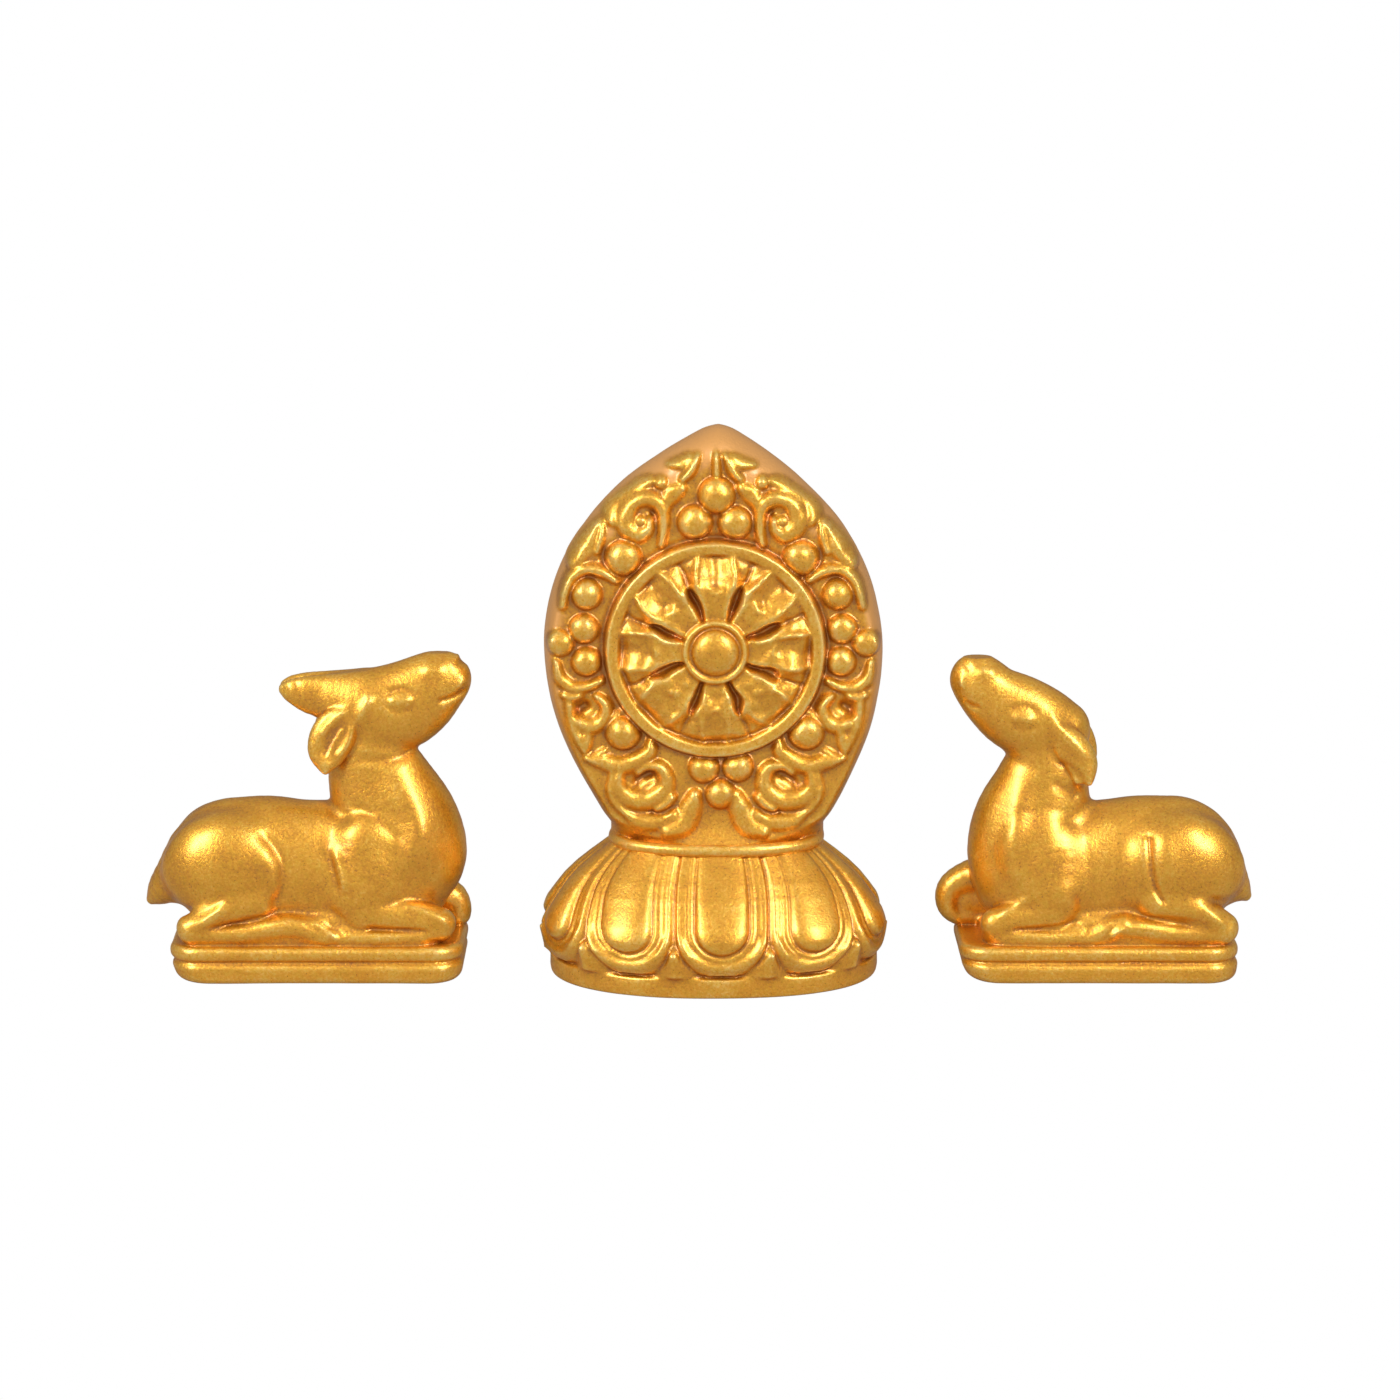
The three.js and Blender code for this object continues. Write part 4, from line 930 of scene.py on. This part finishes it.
def wheel_frame():
    start = (-WHEEL_REACH, -FRAME_REACH, FRAME_BOTTOM - ROOM)
    clay = Clay(start, (WHEEL_REACH, FRAME_REACH, WHEEL_TOP + ROOM), WHEEL_GRAIN)
    x, y, z = clay.axes
    inside = depth_inside(x, z)[:, None, :]
    flare = np.clip((THROAT_TOP - z) / (THROAT_TOP - THROAT_BOTTOM), 0, 1.1) ** 2
    width = border_width(z) + (NECK_HALF_WIDTH - border_width(z)) * flare
    depth = y[None, :, None] - FRAME_MIDDLE
    for front in (True, False):
        reach = (FRONT_DEPTH if front else BACK_DEPTH) + THROAT_FLARE * flare
        back_edge = 0.6 * width + 0.4 * NECK_HALF_WIDTH * flare + 2.4 * smooth_step((z - 60) / 25)
        edge = width if front else back_edge
        u = np.clip(1 - inside / edge, 0, None)
        v = np.clip(np.abs(depth) / reach, LEAST, None)
        k = np.maximum(u**EDGE_POWER + v**EDGE_POWER, LEAST) ** (1 / EDGE_POWER)
        slope = np.hypot(u ** (EDGE_POWER - 1) / edge, v ** (EDGE_POWER - 1) / reach) * k ** (1 - EDGE_POWER)
        half = (depth < 0) if front else (depth >= 0)
        clay.field = np.where(half, (k - 1) / slope, clay.field).astype(np.float32)
    front = smooth_step(-depth / 3 + 0.1)
    ornament = frame_relief(x, z)
    clay.field -= ornament[:, None, :] * front.astype(np.float32)
    size, slope = oval(x[:, None] - BEAD_SHIFT, y[None, :] / BEAD_SHALLOW)
    ring = np.hypot(((size - BEAD_HALF_WIDTH) / slope)[:, :, None], z - BEAD_HEIGHT) - BEAD_RADIUS
    clay.field = smooth_min(clay.field, ring.astype(np.float32), BEAD_JOIN)
    clay.field = smooth_max(clay.field, FRAME_BOTTOM - z, BOTTOM_ROUND)
    clay.finish(FRAME_SEED)

    def matt(points):
        """Marks the border in front, where no ornament lies on it."""
        near_edge = read_grid(inside[:, 0, :], clay, points)
        share = 1 - smooth_step((near_edge / border_width(points[:, 2]) - 0.95) / 0.25)
        on_front = smooth_step((FRAME_MIDDLE - points[:, 1]) / 3 - 0.6)
        bare = 1 - smooth_step(read_grid(box_blur(ornament, 2), clay, points) / 0.3) * on_front
        return {"matt": share * bare * smooth_step((points[:, 2] - 30) / 25)}

    cast("wheel_frame", "dharma_wheel", clay, extra=matt)


def read_grid(values, clay, points):
    """Values of an x and z grid at points."""
    steps = np.round((points - clay.low) / clay.step).astype(int)
    return values[tuple(np.clip(steps[:, axis], 0, count - 1) for axis, count in zip((0, 2), values.shape))]


LOTUS_TOP = 22.4
LOTUS_SHALLOW = 0.14
TOP_ROUND = 0.3
PETALS = 10
PETAL_SHIFT = 1.2
PETAL_PITCH = 14.6
# How much of the base's spread the petals at the front still have at the top
UPRIGHT = 0.68
# Half width of the lotus without its petals, from the foot up: height, half width
LOTUS_PROFILE = (
    (-1, 25.2), (0, 25.8), (0.4, 26.2), (1.2, 26.35), (3.6, 26.3), (4.4, 26.4), (7.3, 27.1),
    (9.2, 26.8), (11.2, 25.9), (13.1, 24.7), (15.1, 23.3), (17.1, 21.5), (19, 19.4), (21, 17), (22.5, 15),
)
TONGUE = 4.05
TONGUE_RISE = ((6, 1.45), (11, 1.4), (16, 1.0), (21, 0.5))
PETAL_HALF = 7.1
PETAL_BOTTOM = 3.6
ROUND_FROM = 11.3
BACK_PETAL_TOP = 8.8
PETAL_POWER = 2.6


def petal_relief(a, z):
    """Relief of a petal, a across it and z up: a raised tongue in a rimmed border with a full lip."""
    drop = np.clip(ROUND_FROM - z, 0, None)
    near = np.hypot(a, drop)
    low = smooth_step(drop / 5)
    tongue = read(TONGUE_RISE, z) * np.clip(1 - np.clip(near / TONGUE, 0, 1) ** PETAL_POWER, 0, 1) ** 0.5
    groove = -0.3 * bell(near - TONGUE - 0.15, 0.25)
    bead = 0.3 * bell(near - TONGUE - 0.6, 0.25)
    square = np.abs(a / PETAL_HALF) ** PETAL_POWER + (drop / (ROUND_FROM - PETAL_BOTTOM)) ** PETAL_POWER
    edge = (1 - square ** (1 / PETAL_POWER)) * PETAL_HALF
    rim = (0.45 + 0.4 * low) * bell(edge - 0.45 - 0.95 * low, 0.3 + 0.75 * low)
    rim = rim + 0.28 * bell(edge - 1.35, 0.22) * (1 - low)
    fall = -0.6 * smooth_step((z - 4) / 1.5) * bell(edge, 0.25)
    gap = np.abs(np.abs(a) - PETAL_PITCH / 2)
    keel = 1.1 - 0.45 * gap
    back = -0.45 + (keel + 0.45) * smooth_step((BACK_PETAL_TOP - z) / 1.6)
    foot = smooth_step((z - PETAL_BOTTOM + 0.35) / 0.3)
    return np.where(edge > 0, tongue + groove + bead + rim + fall, back) * foot


def lotus():
    start = (-WHEEL_REACH, -LOTUS_REACH, -ROOM)
    clay = Clay(start, (WHEEL_REACH, LOTUS_REACH, LOTUS_TOP + ROOM), WHEEL_GRAIN)
    x, y, z = clay.spread()
    size, slope = oval(x, y / (1 - LOTUS_SHALLOW * smooth_step((z - 8) / 14)))
    turn = np.linspace(-math.pi, math.pi, 721)
    ring = np.abs(np.sin(turn)) ** (2 / OVAL_POWER) * np.sign(np.sin(turn))
    deep = np.abs(np.cos(turn)) ** (2 / OVAL_POWER) * np.sign(np.cos(turn)) * OVAL_DEPTH
    along = np.concatenate([[0], np.cumsum(np.hypot(np.diff(ring), np.diff(deep)))])
    along = (along / along[-1] - 0.5) * PETALS
    share = np.clip(np.abs(x) / size, 0, 1)
    upright = 1 - (1 - UPRIGHT) * smooth_step((z - 5) / 20)
    share = share * (upright + (1 - upright) * share**5)
    u = share ** (OVAL_POWER / 2)
    v = np.sqrt(np.clip(1 - u * u, 0, 1)) * np.where(y > 0, -1, 1)
    place = np.interp(np.arctan2(u * np.sign(x), v), turn, along) - PETAL_SHIFT / PETAL_PITCH
    across = (place - np.round(place)) * PETAL_PITCH
    relief = box_blur(petal_relief(across, z).astype(np.float32), 1)
    base = read(LOTUS_PROFILE, clay.axes[2])
    steep = np.hypot(1, np.gradient(base, clay.axes[2])).astype(np.float32)
    body = ((size - base) / slope).astype(np.float32)
    clay.field = smooth_max((body - relief) / steep, z - LOTUS_TOP, TOP_ROUND)
    clay.finish(LOTUS_SEED)
    cast("lotus", "dharma_wheel", clay)


wheel_frame()
lotus()


# Gold paint: a satin metal coat, with a red-brown painted shade in hollows and a pale painted highlight on
# high edges

# From hollow to high edge the tones go from painted shade, through the gold, to a painted highlight
CREVICE_SHADE = (0.44, 0.165, 0.02)
SHADED = (0.63, 0.262, 0.012)
GOLD_TONE = (0.77, 0.352, 0.014)
BRIGHT = (0.83, 0.44, 0.04)
PAINTED_HIGHLIGHT = (0.88, 0.59, 0.17)
MATT_COAT = (0.65, 0.315, 0.086)
SHADE_TO_HIGHLIGHT = [(0.05, CREVICE_SHADE), (0.28, SHADED), (0.5, GOLD_TONE), (0.72, BRIGHT), (0.95, PAINTED_HIGHLIGHT)]
TINTS = [(0.35, (0.95, 1.03, 0.85)), (0.65, (1.04, 0.95, 1.05))]
# The span that most of a noise lies in, and how much patches and specks change the tone
NOISE_SPAN = (0.3, 0.7)
PATCH_REACH = 0.13
SPECK_REACH = 0.2
METALLIC = 0.7
MATT_METALLIC = 0.3
ROUGHNESS = (0.27, 0.4)
MATT_ROUGHER = 0.22
LACQUER = 0.6
EDGE_TINT = (0.8, 0.45, 0.2)


def node(tree, kind, **values):
    """Makes a node, with values for its settings or its sockets."""
    out = tree.nodes.new(kind)
    for key, value in values.items():
        if hasattr(out, key):
            setattr(out, key, value)
        else:
            out.inputs[key.replace("_", " ")].default_value = value
    return out


def stretch(tree, source, span, onto):
    """Maps a value from one span onto another."""
    ends = {"From_Min": span[0], "From_Max": span[1], "To_Min": onto[0], "To_Max": onto[1]}
    out = node(tree, "ShaderNodeMapRange", **ends)
    tree.links.new(source, out.inputs["Value"])
    return out.outputs["Result"]


def painted(name, **values):
    """Makes a material, with values for the sockets of its shader."""
    material = bpy.data.materials.new(name)
    material.use_nodes = True
    shader = material.node_tree.nodes["Principled BSDF"]
    for key, value in values.items():
        shader.inputs[key.replace("_", " ")].default_value = value
    return material, material.node_tree, shader


def ramp(tree, source, stops):
    out = tree.nodes.new("ShaderNodeValToRGB")
    out.color_ramp.interpolation = "B_SPLINE"
    while len(out.color_ramp.elements) < len(stops):
        out.color_ramp.elements.new(0.5)
    for element, (place, colour) in zip(out.color_ramp.elements, stops):
        element.position = place
        element.color = (*colour, 1)
    tree.links.new(source, out.inputs["Fac"])
    return out.outputs["Color"]


def gold_paint():
    material, tree, shader = painted(
        "gold_paint", Specular_IOR_Level=0.5, Specular_Tint=(*EDGE_TINT, 1), Coat_Weight=LACQUER,
        Coat_Roughness=0.3, Coat_IOR=1.75,
    )
    link = tree.links.new
    place = tree.nodes.new("ShaderNodeTexCoord").outputs["Object"]
    relief = node(tree, "ShaderNodeAttribute", attribute_name="relief").outputs["Fac"]
    matt = node(tree, "ShaderNodeAttribute", attribute_name="matt").outputs["Fac"]
    patches = node(tree, "ShaderNodeTexNoise", Scale=190, Detail=3, Roughness=0.6)
    specks = node(tree, "ShaderNodeTexNoise", Scale=2300, Detail=2, Roughness=0.75)
    tints = node(tree, "ShaderNodeTexNoise", Scale=1100, Detail=2, Roughness=0.6)
    for texture in (patches, specks, tints):
        link(place, texture.inputs["Vector"])

    def weighed(texture, reach, onto):
        """Adds a noise to a value, up to reach each way."""
        total = node(tree, "ShaderNodeMath", operation="ADD")
        link(stretch(tree, texture.outputs["Fac"], NOISE_SPAN, (-reach, reach)), total.inputs[0])
        link(onto, total.inputs[1])
        return total.outputs["Value"]

    # Painted shade in hollows and a painted highlight on high edges, taken from the relief mark and varied
    # by patches and specks
    shaded_and_lit = ramp(tree, weighed(specks, SPECK_REACH, weighed(patches, PATCH_REACH, relief)), SHADE_TO_HIGHLIGHT)
    tinted = node(tree, "ShaderNodeMix", data_type="RGBA", blend_type="MULTIPLY")
    tint = ramp(tree, tints.outputs["Fac"], TINTS)
    tinted.inputs[0].default_value = 1
    link(shaded_and_lit, tinted.inputs[6])
    link(tint, tinted.inputs[7])
    coat = node(tree, "ShaderNodeMix", data_type="RGBA")
    link(matt, coat.inputs[0])
    link(tinted.outputs[2], coat.inputs[6])
    coat.inputs[7].default_value = (*MATT_COAT, 1)
    link(coat.outputs[2], shader.inputs["Base Color"])
    link(stretch(tree, matt, (0, 1), (METALLIC, MATT_METALLIC)), shader.inputs["Metallic"])
    rougher = node(tree, "ShaderNodeMath", operation="MULTIPLY_ADD")
    link(matt, rougher.inputs[0])
    rougher.inputs[1].default_value = MATT_ROUGHER
    link(stretch(tree, specks.outputs["Fac"], NOISE_SPAN, ROUGHNESS), rougher.inputs[2])
    link(rougher.outputs["Value"], shader.inputs["Roughness"])
    bump = node(tree, "ShaderNodeBump", Strength=0.5, Distance=0.00016)
    link(specks.outputs["Fac"], bump.inputs["Height"])
    link(bump.outputs["Normal"], shader.inputs["Normal"])
    return material


GOLD = gold_paint()
for piece in bpy.data.objects:
    if piece.name.endswith("_casting"):
        piece.data.materials.clear()
        piece.data.materials.append(GOLD)


# Floor, light and camera

WHITE = (1, 1, 1, 1)
PALE_FLOOR = (0.4, 0.4, 0.4, 1)
# Half the floor's side, in times the set's largest size
FLOOR_REACH = 20
LAMP_WATTS = 3.9
LAMP_SIZE = (0.2, 0.5)
LAMP_DISTANCE = 0.8
LAMP_COLOUR = (1, 0.98, 0.93)
SKY_TOWARDS = (0, -0.6, 0.8)
SKY_LIGHT = (0.1, 0.58)
VIEW_ELEVATION = math.radians(13)
VIEW_DISTANCE = 0.65
VIEW_WIDTH = 0.2226
VIEW_TARGET = Vector((-0.0022, 0, 0.0442))


def look_white(tree, lit, white, output):
    """Lets one shader light the scene, and shows a white one to the camera in its place."""
    white.inputs["Color"].default_value = WHITE
    mix = tree.nodes.new("ShaderNodeMixShader")
    path = tree.nodes.new("ShaderNodeLightPath")
    tree.links.new(path.outputs["Is Camera Ray"], mix.inputs["Fac"])
    tree.links.new(lit.outputs[0], mix.inputs[1])
    tree.links.new(white.outputs[0], mix.inputs[2])
    tree.links.new(mix.outputs["Shader"], tree.nodes[output].inputs["Surface"])


def floor():
    """Throws light back like pale paper, and looks as white as the sky behind it."""
    material, tree, paper = painted("floor", Base_Color=PALE_FLOOR, Roughness=0.9)
    look_white(tree, paper, tree.nodes.new("ShaderNodeEmission"), "Material Output")
    size = FLOOR_REACH * max(CAD_BOX[1])
    mesh = bpy.data.meshes.new("floor")
    corners = [(-size, -size, 0), (size, -size, 0), (size, size, 0), (-size, size, 0)]
    mesh.from_pydata(corners, [], [(0, 1, 2, 3)])
    mesh.materials.append(material)
    plane = in_scene("floor", mesh)


def face_set(thing, aim, distance):
    """Puts a lamp or the camera in a direction from the middle of the set, facing it."""
    thing.location = VIEW_TARGET + aim * distance
    thing.rotation_euler = aim.to_track_quat("Z", "Y").to_euler()


def softbox(name, direction):
    lamp = bpy.data.lights.new(name, "AREA")
    lamp.shape = "ELLIPSE"
    lamp.size, lamp.size_y = LAMP_SIZE
    lamp.energy = LAMP_WATTS
    lamp.color = LAMP_COLOUR
    face_set(in_scene(name, lamp), Vector(direction).normalized(), LAMP_DISTANCE)


def camera():
    lens = bpy.data.cameras.new("camera")
    lens.sensor_fit = "AUTO"
    lens.angle = 2 * math.atan(VIEW_WIDTH / 2 / VIEW_DISTANCE)
    lens.clip_start = 0.01
    view = in_scene("camera", lens)
    face_set(view, Vector((0, -math.cos(VIEW_ELEVATION), math.sin(VIEW_ELEVATION))), VIEW_DISTANCE)
    bpy.context.scene.camera = view


def world():
    """White to look at, dimmer as a light."""
    sky = bpy.data.worlds.new("studio")
    sky.use_nodes = True
    tree = sky.node_tree
    light = tree.nodes["Background"]
    light.inputs["Color"].default_value = WHITE
    facing = node(tree, "ShaderNodeVectorMath", operation="DOT_PRODUCT")
    tree.links.new(tree.nodes.new("ShaderNodeTexCoord").outputs["Generated"], facing.inputs[0])
    facing.inputs[1].default_value = SKY_TOWARDS
    glow = stretch(tree, facing.outputs["Value"], (-1, 1), SKY_LIGHT)
    tree.links.new(glow, light.inputs["Strength"])
    look_white(tree, light, tree.nodes.new("ShaderNodeBackground"), "World Output")
    bpy.context.scene.world = sky


floor()
softbox("left_softbox", (-0.64, -0.57, 0.515))
softbox("right_softbox", (0.57, -0.63, 0.53))
camera()
world()
bpy.context.scene.view_settings.view_transform = "Standard"
